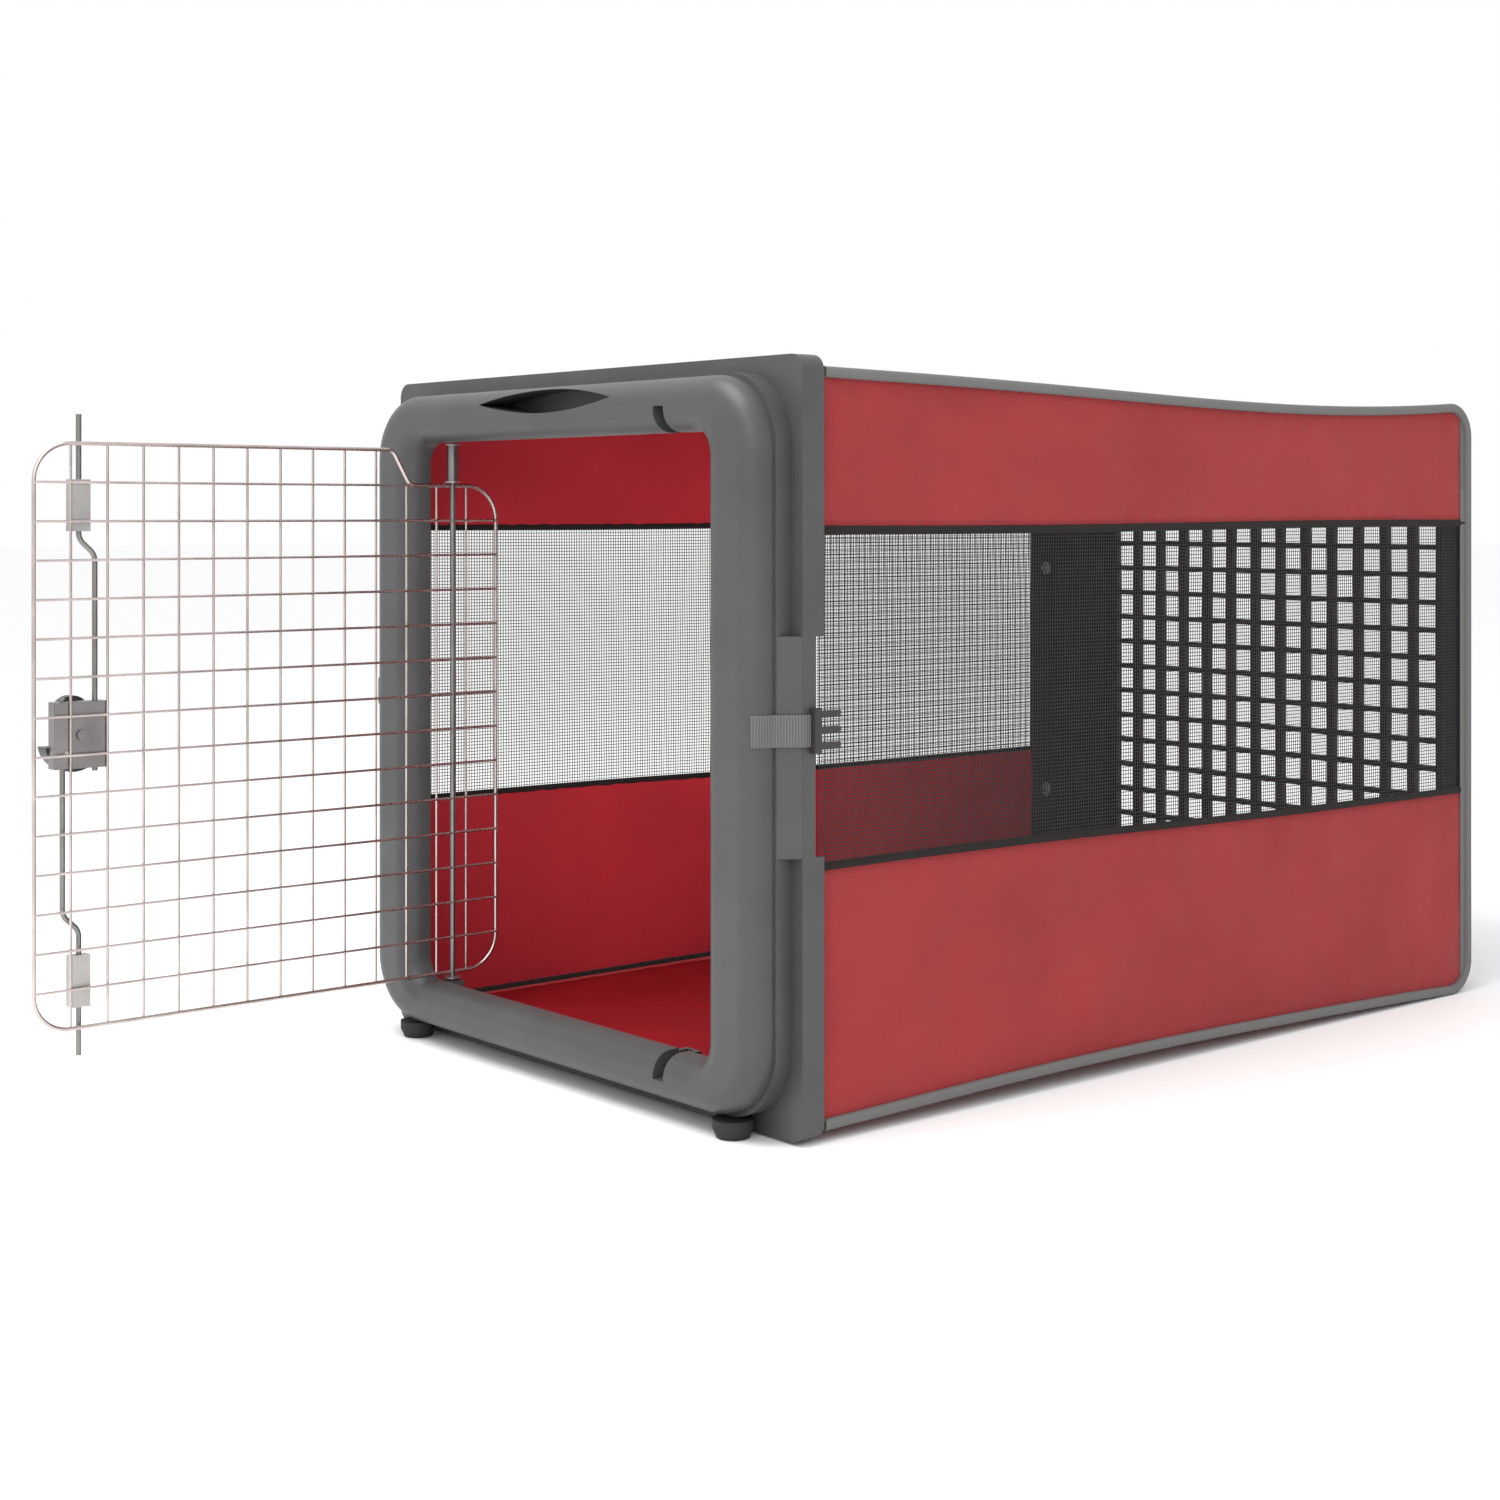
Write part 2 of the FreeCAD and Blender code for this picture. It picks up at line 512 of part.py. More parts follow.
def fabric():
    """Roof, floor, padded side bands, mesh windows, window tape and edge binding."""
    run = f"{FABRIC_REAR} - {FABRIC_FRONT}"
    wide = f"2 * {FABRIC_X}"
    thick = "@fabricThick"
    sheet_box("roof_panel", f"-{FABRIC_X}", FABRIC_FRONT, f"{FABRIC_TOP} - {thick}", wide, run, thick)
    sheet_box("floor_panel", f"-{FABRIC_X}", FABRIC_FRONT, "@fabricBase", wide, run, thick)
    tape_low = "@windowLow - @pipingWidth / 2"
    tape_high = "@windowHigh - @pipingWidth / 2"
    base = f"@fabricBase + {thick}"
    top = f"{FABRIC_TOP} - {thick}"
    for side, sign in (("left", -1), ("right", 1)):
        x = side_x(sign, "0", thick)
        sheet_box(f"{side}_lower_panel", x, FABRIC_FRONT, base, thick, run, f"{tape_low} - ({base})")
        sheet_box(f"{side}_upper_panel", x, FABRIC_FRONT, f"{tape_high} + @pipingWidth", thick, run,
                  f"{top} - ({tape_high} + @pipingWidth)")
        sheet_box(f"{side}_mesh", side_x(sign, "1", "@meshThick"), FABRIC_FRONT,
                  f"{tape_low} + @pipingWidth", "@meshThick", run,
                  f"{tape_high} - ({tape_low} + @pipingWidth)")
        tapes = [box(f"{side}_tape_{k}", x, FABRIC_FRONT, z, thick, run, "@pipingWidth")
                 for k, z in enumerate((tape_low, tape_high))]
        keep(group(f"{side}_tapes", tapes), f"{side}_window_tape")
        out = f"{FABRIC_X} + 0.2"
        x = out if sign > 0 else f"-({out} + @bindingThick)"
        start = f"{SHELL_DEPTH} + 0.5"
        length = f"{FABRIC_REAR} - @bindingWidth - 1 - ({start})"
        bindings = [box(f"{side}_binding_{k}", x, start, z, "@bindingThick", length, "@bindingWidth")
                    for k, z in enumerate(("@fabricBase - 1", f"{FABRIC_TOP} + 1 - @bindingWidth"))]
        keep(group(f"{side}_bindings", bindings), f"{side}_edge_binding")
    tubes = []
    inner = f"({FABRIC_X} - {thick} - @tubeRadius - 1)"
    start = f"{SHELL_DEPTH} + 4"
    length = f"{REAR_START} - 4 - ({start})"
    for side, sign in (("left", "-"), ("right", "")):
        tubes.append(cylinder(f"tube_{side}", "@tubeRadius", length, f"{sign}{inner}", start,
                              f"{base} + @tubeRadius + 0.3", Vector(0, 1, 0)))
    keep(group("tubes", tubes), "floor_edge_tubes")
    mat_x = f"({FABRIC_X} - {thick} - @matGap)"
    sheet_box("floor_mat", f"-{mat_x}", start, f"{base} + 0.3", f"2 * {mat_x}", length, "@matThick")


# ---------------------------------------------------------------- rear shell

def tub_block(name, y, end, inset):
    """Round-cornered block between two depths, inset from the shell's outside, tapered at the back."""
    edge = f"(@fabricInset + @fabricThick + @fitGap + {inset})"
    low = f"@fabricBase + @fabricThick + @fitGap + {inset}"
    tall = f"{FABRIC_TOP} - @fabricBase - 2 * (@fabricThick + @fitGap + {inset})"
    body = prism(name, y, f"{end} - ({y})", f"@bodyWidth - 2 * {edge}", tall, low, f"@rearCorner - {inset}")
    doc.recompute()
    base = body.Tip
    back = base.Shape.BoundBox.YMax - 0.001
    chamfer = body.newObject("PartDesign::Chamfer", name + "_taper")
    chamfer.Base = (base, edges_where(base.Shape, lambda e: e.BoundBox.YMin > back))
    chamfer.ChamferType = "Two distances"
    bind(chamfer, Size="@rearTaperDepth", Size2="@rearTaper")
    return body


def rear_shell():
    """Tub with a straight rim inside the fabric, a taper and a back plate that frames the grille."""
    edge = "(@fabricInset + @fabricThick + @fitGap)"
    low = "(@fabricBase + @fabricThick + @fitGap)"
    tall = f"({FABRIC_TOP} - @fabricBase - 2 * (@fabricThick + @fitGap))"
    wall = "@rearWall"
    outside = tub_block("rear_outside", REAR_START, "@bodyDepth", "0")
    inside = tub_block("rear_inside", f"{REAR_START} - 1", f"@bodyDepth - {wall}", wall)
    frame = "(@rearTaper + @grilleBorder)"
    window = prism("rear_window", "@bodyDepth - 20", "40", f"@bodyWidth - 2 * {edge} - 2 * {frame}",
                   f"{tall} - 2 * {frame}", f"{low} + {frame}", None)
    keep(cut("rear_tub", outside, [inside, window]), "rear_shell")
    # The grille fills that window: a plate pierced by a grid of square holes.
    gap = "@fitGap"
    wide = f"(@bodyWidth - 2 * {edge} - 2 * {frame} - 2 * {gap})"
    high = f"({tall} - 2 * {frame} - 2 * {gap})"
    plate = box("grille_plate", f"-{wide} / 2", "@bodyDepth - @grilleThick", f"{low} + {frame} + {gap}",
                wide, "@grilleThick", high)
    bar_wide, bar_tall = size["grilleBarWide"], size["grilleBarTall"]
    pitch_x = (number(wide) - bar_wide) / GRILLE_COLUMNS
    pitch_z = (number(high) - bar_tall) / GRILLE_ROWS
    first = Vector(bar_wide - number(wide) / 2, number("@bodyDepth - @grilleThick - 1"),
                   number(f"{low} + {frame} + {gap}") + bar_tall)
    holes = []
    for i in range(GRILLE_COLUMNS):
        for j in range(GRILLE_ROWS):
            holes.append(Part.makeBox(pitch_x - bar_wide, size["grilleThick"] + 2, pitch_z - bar_tall,
                                      first + Vector(i * pitch_x, 0, j * pitch_z)))
    grid = doc.addObject("Part::Feature", "grille_holes")
    grid.Shape = Part.makeCompound(holes)
    keep(cut("grille", plate, [grid]), "rear_grille")


def rear_trim():
    """Binding round the rear end of the fabric, and the screws and washers inside the rim."""
    ring_y = f"{FABRIC_REAR} - @bindingWidth"
    out = "(@fabricInset - 0.2 - @bindingThick)"
    outer = prism("ring_outer", ring_y, "@bindingWidth", f"@bodyWidth - 2 * {out}", f"{FABRIC_TOP} + 1",
                  "0", None)
    inner = prism("ring_inner", f"{ring_y} - 1", "@bindingWidth + 2",
                  "@bodyWidth - 2 * @fabricInset + 0.4", f"{FABRIC_TOP} - @fabricBase + 0.4",
                  "@fabricBase - 0.2", None)
    keep(cut("rear_ring", outer, [inner]), "rear_binding")
    screws, washers = [], []
    inside_x = "(@bodyWidth / 2 - @fabricInset - @fabricThick - @fitGap - @rearWall)"
    y = f"{REAR_START} + 22"
    for side, sign, turn in (("left", -1, "-"), ("right", 1, "")):
        axis = Vector(sign, 0, 0)
        for k, z in enumerate(("@windowLow - 55", "@windowHigh - 52")):
            place_of = f"{side}_{k}"
            disc = cylinder(f"washer_{place_of}", "7.5", "1.2", f"{turn}({inside_x} - 1.2)", y, z, axis)
            hole = cylinder(f"washer_hole_{place_of}", "2", "4", f"{turn}({inside_x} - 2)", y, z, axis)
            washers.append(cut(f"washer_{place_of}_drilled", disc, [hole]))
            head_x = f"{turn}({inside_x} - 3.6)"
            head = cylinder(f"screw_head_{place_of}", "4", "2.4", head_x, y, z, axis)
            shank = cylinder(f"screw_shank_{place_of}", "1.9", "3.6 + @rearWall - 0.2", head_x, y, z, axis)
            screws.append(fuse(f"screw_{place_of}", [head, shank]))
    keep(group("screws", screws), "rear_screws")
    keep(group("washers", washers), "rear_washers")


# ---------------------------------------------------------------- door

def wire_path(points, radius):
    """Wire of straight runs joined by tangent arcs; the first and last points are its ends."""
    edges, start = [], points[0]
    for before, corner, after in zip(points, points[1:], points[2:]):
        u, v = (before - corner).normalize(), (after - corner).normalize()
        back = radius / math.tan(u.getAngle(v) / 2)
        first, last = corner + u * back, corner + v * back
        centre = corner + (u + v).normalize() * math.hypot(radius, back)
        middle = centre + (corner - centre).normalize() * radius
        if (first - start).Length > 1e-4:
            edges.append(Part.LineSegment(start, first).toShape())
        edges.append(Part.Arc(first, middle, last).toShape())
        start = last
    if (points[-1] - start).Length > 1e-4:
        edges.append(Part.LineSegment(start, points[-1]).toShape())
    return Part.Wire(edges)


def rod_along(wire, diameter):
    """Round bar along a wire."""
    start, direction = wire.Edges[0].Vertexes[0].Point, wire.Edges[0].tangentAt(wire.Edges[0].FirstParameter)
    if (wire.Edges[0].valueAt(wire.Edges[0].FirstParameter) - start).Length > 1e-4:
        start = wire.Edges[0].valueAt(wire.Edges[0].FirstParameter)
    section = Part.Wire(Part.makeCircle(diameter / 2, start, direction))
    return wire.makePipeShell([section], True, False, 2)


def shape_node(label, shape, door=True):
    """Sub-part whose shape is made in code, from sizes read from the sheet."""
    obj = doc.addObject("Part::Feature", label + "_shape")
    obj.Shape = Part.makeCompound([shape])
    return keep(obj, label, door)


def door_grid():
    """Edge wire with its step at the hinge side, upright wires, level wires and the pivot rod."""
    cell, back = size["cell"], size["pivotBack"]
    reach, low, high = number(DOOR_REACH), number(DOOR_LOW), number(DOOR_HIGH)
    step_in = 54.0
    step_run = 9.0
    tight = 9.0
    middle = (low + high) / 2
    corner_radius = cell * 0.97

    def at(u, z):
        return Vector(u, 0, z)

    # The edge wire is one loop; its larger corners and its small step corners differ in radius.
    top = wire_path([at(reach, middle), at(reach, high), at(step_in + 60, high)], corner_radius)
    step = wire_path([at(step_in + 60, high), at(step_in + step_run, high), at(step_in - step_run, high - cell),
                      at(step_in - 35, high - cell)], tight)
    rest = wire_path([at(step_in - 35, high - cell), at(-back, high - cell), at(-back, low), at(reach, low),
                      at(reach, middle)], corner_radius)
    loop = Part.Wire(Part.__sortEdges__([e for w in (top, step, rest) for e in w.Edges]))
    shape_node("door_edge_wire", rod_along(loop, size["frameWire"]))
    offset = size["meshWire"] / 2 + 0.05
    radius = size["meshWire"] / 2
    uprights, levels = [], []
    for k in range(1, int(size["doorColumns"])):
        u = reach - cell * k
        top_z = high if u > step_in + step_run else high - cell
        uprights.append(Part.makeCylinder(radius, top_z - low, Vector(u, -offset, low), Vector(0, 0, 1)))
    for k in range(1, int(size["doorRows"])):
        first = step_in - step_run if k == 1 else -back
        levels.append(Part.makeCylinder(radius, reach - first, Vector(first, offset, high - cell * k),
                                        Vector(1, 0, 0)))
    shape_node("door_upright_wires", Part.makeCompound(uprights))
    shape_node("door_level_wires", Part.makeCompound(levels))
    rod_top = "@openingSill + @openingHeight + 10"
    rod_low = "@openingSill - 10"
    keep(cylinder("pivot_rod_solid", "@pivotRod / 2", f"{rod_top} - ({rod_low})", "0", "0", rod_low),
         "door_pivot_rod", door=True)
    bind(NODES[-1], Placement__Base__z=rod_low)
    sleeve_low = f"{DOOR_HIGH} - @cell + @frameWire / 2 + 1"
    sleeve_tall = f"@openingSill + @openingHeight - 1 - ({sleeve_low})"
    blank = cylinder("sleeve", "5", f"{sleeve_tall} - 3", "0", "0", f"{sleeve_low} + 1.5")
    sleeve = cut("sleeve_bored", blank, [cylinder("sleeve_bore", "@pivotRod / 2 + @runningGap", "60", "0",
                                                  "0", f"{sleeve_low} - 2")])
    keep(sleeve, "pivot_sleeve", door=True)
    washers = []
    for k, z in enumerate((sleeve_low, f"{sleeve_low} + {sleeve_tall} - 1.3", "@openingSill + 1")):
        disc = cylinder(f"pivot_washer_disc_{k}", "7.5", "1.2", "0", "0", z)
        hole = cylinder(f"pivot_washer_hole_{k}", "@pivotRod / 2 + @runningGap", "4", "0", "0", f"{z} - 1")
        washers.append(cut(f"pivot_washer_{k}", disc, [hole]))
    keep(group("pivot_washer_set", washers), "pivot_washers", door=True)


def bolt_path(sign):
    """Run of a bolt: beside the pinion, then a jog to the guide and out to the tip."""
    centre = number(LATCH_Z)
    inner = number(BOLT_U) - sign * size["boltSpread"]
    outer = number(BOLT_U)
    plane = -size["boltPlane"]
    half = size["latchHeight"] / 2
    jog = 146.0
    edge = number(DOOR_HIGH) if sign > 0 else number(DOOR_LOW)
    tip = edge + sign * size["boltReach"]
    points = [Vector(inner, plane, centre - sign * (half + 3)), Vector(inner, plane, centre + sign * jog),
              Vector(outer, plane, centre + sign * (jog + 13)), Vector(outer, plane, tip)]
    return wire_path(points, 12.0)


def rack(sign):
    """Toothed bar beside a bolt, meshing with the pinion."""
    pitch = 2 * math.pi * size["pinionPitch"] / PINION_TEETH
    centre, axis_u = number(LATCH_Z), number(BOLT_U)
    tip, root, outer = size["pinionPitch"] - 1.4, size["pinionPitch"] + 2.0, size["boltSpread"] - 0.5
    thick, long_ = GEAR_THICK, size["boltTravel"] + 6.3
    low = centre - 3.3 if sign > 0 else centre + 3.3 - long_
    y0 = -size["boltPlane"] - thick / 2
    solids = [Part.makeBox(outer - root, thick, long_, Vector(root, y0, low))]
    for k in range(-5, 6):
        middle = centre + (k + 0.5) * pitch
        if middle - 1.9 < low or middle + 1.9 > low + long_:
            continue
        profile = [Vector(root + 0.01, y0, middle - 1.8), Vector(tip, y0, middle - 0.6),
                   Vector(tip, y0, middle + 0.6), Vector(root + 0.01, y0, middle + 1.8)]
        face = Part.Face(Part.makePolygon(profile + profile[:1]))
        solids.append(face.extrude(Vector(0, thick, 0)))
    whole = solids[0].multiFuse(solids[1:]).removeSplitter()
    if sign > 0:
        whole = whole.mirror(Vector(0, 0, 0), Vector(1, 0, 0))
    whole.translate(Vector(axis_u, 0, 0))
    return whole


def pinion():
    """Small gear that makes the two bolts move against each other."""
    thick = GEAR_THICK
    centre = Vector(0, 0, 0)
    solids = [Part.makeCylinder(size["pinionPitch"] - 2.0, thick, centre, Vector(0, 1, 0))]
    for k in range(PINION_TEETH):
        profile = [Vector(4.0, 0, -1.5), Vector(7.2, 0, -1.5), Vector(10.3, 0, -0.55),
                   Vector(10.3, 0, 0.55), Vector(7.2, 0, 1.5), Vector(4.0, 0, 1.5)]
        tooth = Part.Face(Part.makePolygon(profile + profile[:1])).extrude(Vector(0, thick, 0))
        tooth.rotate(centre, Vector(0, 1, 0), 360.0 / PINION_TEETH * k)
        solids.append(tooth)
    gear = solids[0].multiFuse(solids[1:])
    gear = gear.cut(Part.makeCylinder(2.0 + size["runningGap"], thick + 2, Vector(0, -1, 0), Vector(0, 1, 0)))
    gear.translate(Vector(number(BOLT_U), -size["boltPlane"] - thick / 2, number(LATCH_Z)))
    return gear


def latch():
    """Steel plate, plastic case, pinion with its screw, the two bolts with racks, tab, guides."""
    plate_y = "(@meshWire + 0.4)"
    case_low_u = f"{BOLT_U} - @latchWidth / 2"
    case_low_z = f"{LATCH_Z} - @latchHeight / 2"
    wall = "1.5"
    screw_hole = cylinder("plate_hole", "2.3", "20", BOLT_U, "5", LATCH_Z, Vector(0, -1, 0))
    plate = box("plate_blank", case_low_u, f"-{plate_y} - @latchPlate", case_low_z, "@latchWidth",
                "@latchPlate", "@latchHeight")
    keep(cut("latch_plate_cut", plate, [screw_hole]), "latch_plate", door=True)
    case_back = f"-{plate_y} - @latchPlate - @fitGap - @latchDepth"
    block = box("case_block", case_low_u, case_back, case_low_z, "@latchWidth", "@latchDepth",
                "@latchHeight")
    hollow = box("case_hollow", f"{case_low_u} + {wall}", f"{case_back} + {wall}", f"{case_low_z} + {wall}",
                 f"@latchWidth - 2 * {wall}", "@latchDepth", f"@latchHeight - 2 * {wall}")
    rod_holes = [cylinder(f"case_bore_{k}", "@boltRod / 2 + @runningGap", "@latchHeight + 10",
                          f"{BOLT_U} {sign} @boltSpread", "-@boltPlane", f"{case_low_z} - 5")
                 for k, sign in enumerate("+-")]
    arm_slot = box("case_arm_slot", f"{BOLT_U} - @boltSpread - 3.5", f"{case_back} - 1", f"{LATCH_Z} - 6",
                   "7", f"{wall} + 2", "@latchHeight / 2 + 6 - 1.5")
    case_screw = cylinder("case_screw_hole", "2.05", "30", BOLT_U, "5", LATCH_Z, Vector(0, -1, 0))
    keep(cut("latch_case_cut", block, [hollow, *rod_holes, arm_slot, case_screw]), "latch_case", door=True)
    rest_disc = cylinder("rest_disc", "25", "16", BOLT_U, case_back, f"{LATCH_Z} - 6", Vector(0, -1, 0))
    rest_keep = box("rest_keep", f"{BOLT_U} - 30", f"{case_back} - 20", f"{LATCH_Z} - 40", "60", "40", "30")
    thumb = doc.addObject("Part::Common", "thumb_rest_common")
    thumb.Base, thumb.Tool = rest_disc, rest_keep
    keep(thumb, "thumb_rest", door=True)
    head = cylinder("axle_head", "4.2", "2.2", BOLT_U, "-0.3", LATCH_Z, Vector(0, -1, 0))
    shank = cylinder("axle_shank", "2", f"@latchDepth + {plate_y} + 1", BOLT_U, "-0.4", LATCH_Z,
                     Vector(0, -1, 0))
    keep(fuse("axle_screw", [head, shank]), "latch_axle_screw", door=True)
    rivet = cylinder("rivet_solid", "1.8", "1.4", f"{BOLT_U} + 13", f"-{plate_y} + 1.4", f"{LATCH_Z} - 14",
                     Vector(0, -1, 0))
    keep(group("rivet_group", [rivet]), "latch_rivet", door=True)
    guides = []
    for name, z in (("top", f"{DOOR_HIGH} - 71"), ("low", f"{DOOR_LOW} + 16")):
        block = box(f"guide_{name}_block", f"{BOLT_U} - 7.5", "-@boltPlane - 4", z, "16.5", "10.2", "42")
        bore = cylinder(f"guide_{name}_bore", "@boltRod / 2 + @runningGap", "60", BOLT_U, "-@boltPlane",
                        f"{z} - 9")
        guides.append(cut(f"guide_{name}", block, [bore]))
    keep(group("guide_pair", guides), "bolt_guides", door=True)
    for name, sign in (("upper", 1), ("lower", -1)):
        shape_node(f"{name}_bolt_rod", rod_along(bolt_path(sign), size["boltRod"]))
        shape_node(f"{name}_bolt_rack", rack(sign))
    shape_node("latch_pinion", pinion())
    arm_u = f"{BOLT_U} - @boltSpread - 2.5"
    arm = box("tab_arm", arm_u, f"{case_back} - 4", f"{LATCH_Z} + 20", "5", "@latchDepth - 4.6 + 4", "5")
    pad_disc = cylinder("tab_disc", "15", "9", BOLT_U, f"{case_back} - 4", f"{LATCH_Z} + 16",
                        Vector(0, -1, 0))
    pad_keep = box("tab_keep", f"{BOLT_U} - 20", f"{case_back} - 20", f"{LATCH_Z} + 20", "40", "40", "30")
    pad = doc.addObject("Part::Common", "tab_pad")
    pad.Base, pad.Tool = pad_disc, pad_keep
    keep(fuse("finger_tab_solid", [arm, pad]), "latch_finger_tab", door=True)
    helix = Part.makeHelix(2.6, 13.5, 2.6)
    section = Part.Wire(Part.makeCircle(0.5, Vector(2.6, 0, 0), Vector(0, 1, 0)))
    coil = Part.Wire(helix).makePipeShell([section], True, True)
    coil.translate(Vector(number(BOLT_U), -size["boltPlane"], number(LATCH_Z) + 11.0))
    shape_node("latch_spring", coil)


front_shell()
front_feet()
clamp_ring()
pivot_hooks()
bolt_catches()
straps()
fabric()
rear_shell()
rear_trim()
door_grid()
latch()
doc.recompute()

failed = [obj.Name for obj in doc.Objects if {"Invalid", "Error"} & set(obj.State)]
if failed:
    raise RuntimeError(f"objects failed: {failed}")
os.makedirs("parts", exist_ok=True)
for node in NODES:
    shape = node.Shape
    if shape.isNull() or not shape.isValid() or shape.Volume <= 0:
        raise RuntimeError(f"bad shape: {node.Label}")
    shape.exportStep(f"parts/{node.Label}.step")
    box_ = shape.BoundBox
    print(f"{node.Label:22s} solids {len(shape.Solids):3d}  vol {shape.Volume / 1000:9.1f} cm3  "
          f"x {box_.XMin:7.1f} {box_.XMax:7.1f}  y {box_.YMin:7.1f} {box_.YMax:7.1f}  "
          f"z {box_.ZMin:6.1f} {box_.ZMax:6.1f}")
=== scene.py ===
"""Looks of a folding kennel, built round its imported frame.

The moulded, wire and metal parts keep their solid shapes and get finishes. The soft goods, which are
the padded covers, netting windows, piping, edge binding, mat and webbing, are worked out here as
surfaces. Lengths are in metres: +Z is up, the doorway faces -Y and +X is to the right of it.
"""
import logging
import math
from dataclasses import dataclass
from enum import Enum
from typing import Sequence

import bpy
import numpy as np
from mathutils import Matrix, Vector


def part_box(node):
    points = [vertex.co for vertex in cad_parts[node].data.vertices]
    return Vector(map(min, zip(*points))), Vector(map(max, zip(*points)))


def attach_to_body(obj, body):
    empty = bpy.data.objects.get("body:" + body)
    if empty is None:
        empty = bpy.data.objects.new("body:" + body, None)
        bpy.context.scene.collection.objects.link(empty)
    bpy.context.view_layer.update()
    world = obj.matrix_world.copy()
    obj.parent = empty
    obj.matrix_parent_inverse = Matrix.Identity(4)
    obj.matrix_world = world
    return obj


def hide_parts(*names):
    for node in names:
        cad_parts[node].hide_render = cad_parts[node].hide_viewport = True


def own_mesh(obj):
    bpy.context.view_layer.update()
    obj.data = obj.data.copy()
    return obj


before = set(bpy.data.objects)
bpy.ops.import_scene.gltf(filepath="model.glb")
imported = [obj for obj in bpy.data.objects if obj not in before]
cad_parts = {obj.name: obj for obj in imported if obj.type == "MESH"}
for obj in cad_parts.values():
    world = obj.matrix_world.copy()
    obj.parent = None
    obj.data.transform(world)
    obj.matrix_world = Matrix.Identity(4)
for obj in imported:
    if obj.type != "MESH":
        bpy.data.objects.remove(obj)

LOG = logging.getLogger("kennel")
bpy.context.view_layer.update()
BODY = "kennel_body"
REAR = "rear_end"
SEAM_OUTSET = 0.0016
STITCH_STATIONS, STITCH_SIDES = 4, 6
TUBE_SIDES = 18


# ------------------------------------------------------------------ mesh helpers

def signed_volume(points: np.ndarray, faces: Sequence[Sequence[int]]) -> float:
    """Volume inside a closed mesh: the sum over triangles of a . (b x c) / 6.

    Args:
        points: Vertices, one row each.
        faces: Vertex numbers of each face.

    Returns:
        The volume, negative when the faces point inwards.
    """
    triangles = np.array([(f[0], f[k], f[k + 1]) for f in faces for k in range(1, len(f) - 1)])
    a, b, c = (points[triangles[:, k]] for k in range(3))
    return float(np.einsum("ij,ij->i", a, np.cross(b, c)).sum() / 6.0)


def make_piece(name: str, points: np.ndarray, faces: Sequence[Sequence[int]],
               smooth: bool = True) -> bpy.types.Object:
    """Put vertices and faces into a new object that sits at the origin.

    Args:
        name: Name of the piece.
        points: Vertices, one row each.
        faces: Vertex numbers of each face; they are turned to point outwards.
        smooth: Whether the faces are shaded smooth.

    Returns:
        The new object, linked to the scene.
    """
    if signed_volume(points, faces) < 0.0:
        faces = [tuple(reversed(f)) for f in faces]
    mesh = bpy.data.meshes.new(name)
    mesh.from_pydata(points.tolist(), [], [tuple(int(i) for i in f) for f in faces])
    mesh.update()
    mesh.polygons.foreach_set("use_smooth", [smooth] * len(mesh.polygons))
    if smooth:
        mesh.set_sharp_from_angle(angle=math.radians(50.0))
    piece = bpy.data.objects.new(name, mesh)
    bpy.context.scene.collection.objects.link(piece)
    return piece


def grid_faces(rows: int, columns: int, start: int = 0, closed: bool = False) -> np.ndarray:
    """Quads over a grid of vertices numbered row by row.

    Args:
        rows: Rows of vertices.
        columns: Vertices in a row.
        start: Number of the first vertex.
        closed: Whether the last vertex of a row joins its first.

    Returns:
        One row of four vertex numbers for each quad.
    """
    i, j = np.meshgrid(np.arange(rows - 1), np.arange(columns if closed else columns - 1), indexing="ij")
    following = (j + 1) % columns
    quads = np.stack([i * columns + j, (i + 1) * columns + j, (i + 1) * columns + following,
                      i * columns + following], axis=-1)
    return quads.reshape(-1, 4) + start


def slab(outer: np.ndarray, inner: np.ndarray) -> tuple[np.ndarray, list[tuple[int, ...]]]:
    """Closed sheet from its two faces, joined round the rim.

    Args:
        outer: Grid of points of one face.
        inner: Grid of points of the other face.

    Returns:
        Vertices and faces.
    """
    rows, columns = outer.shape[:2]
    count = rows * columns
    points = np.concatenate([outer.reshape(-1, 3), inner.reshape(-1, 3)])
    top = grid_faces(rows, columns)
    bottom = grid_faces(rows, columns, count)[:, ::-1]
    number = np.arange(count).reshape(rows, columns)
    rim = np.concatenate([number[0, :-1], number[:-1, -1], number[-1, :0:-1], number[:0:-1, 0]])
    ahead = np.roll(rim, -1)
    walls = np.stack([rim, ahead, ahead + count, rim + count], axis=-1)
    return points, [tuple(f) for f in np.concatenate([top, bottom, walls])]


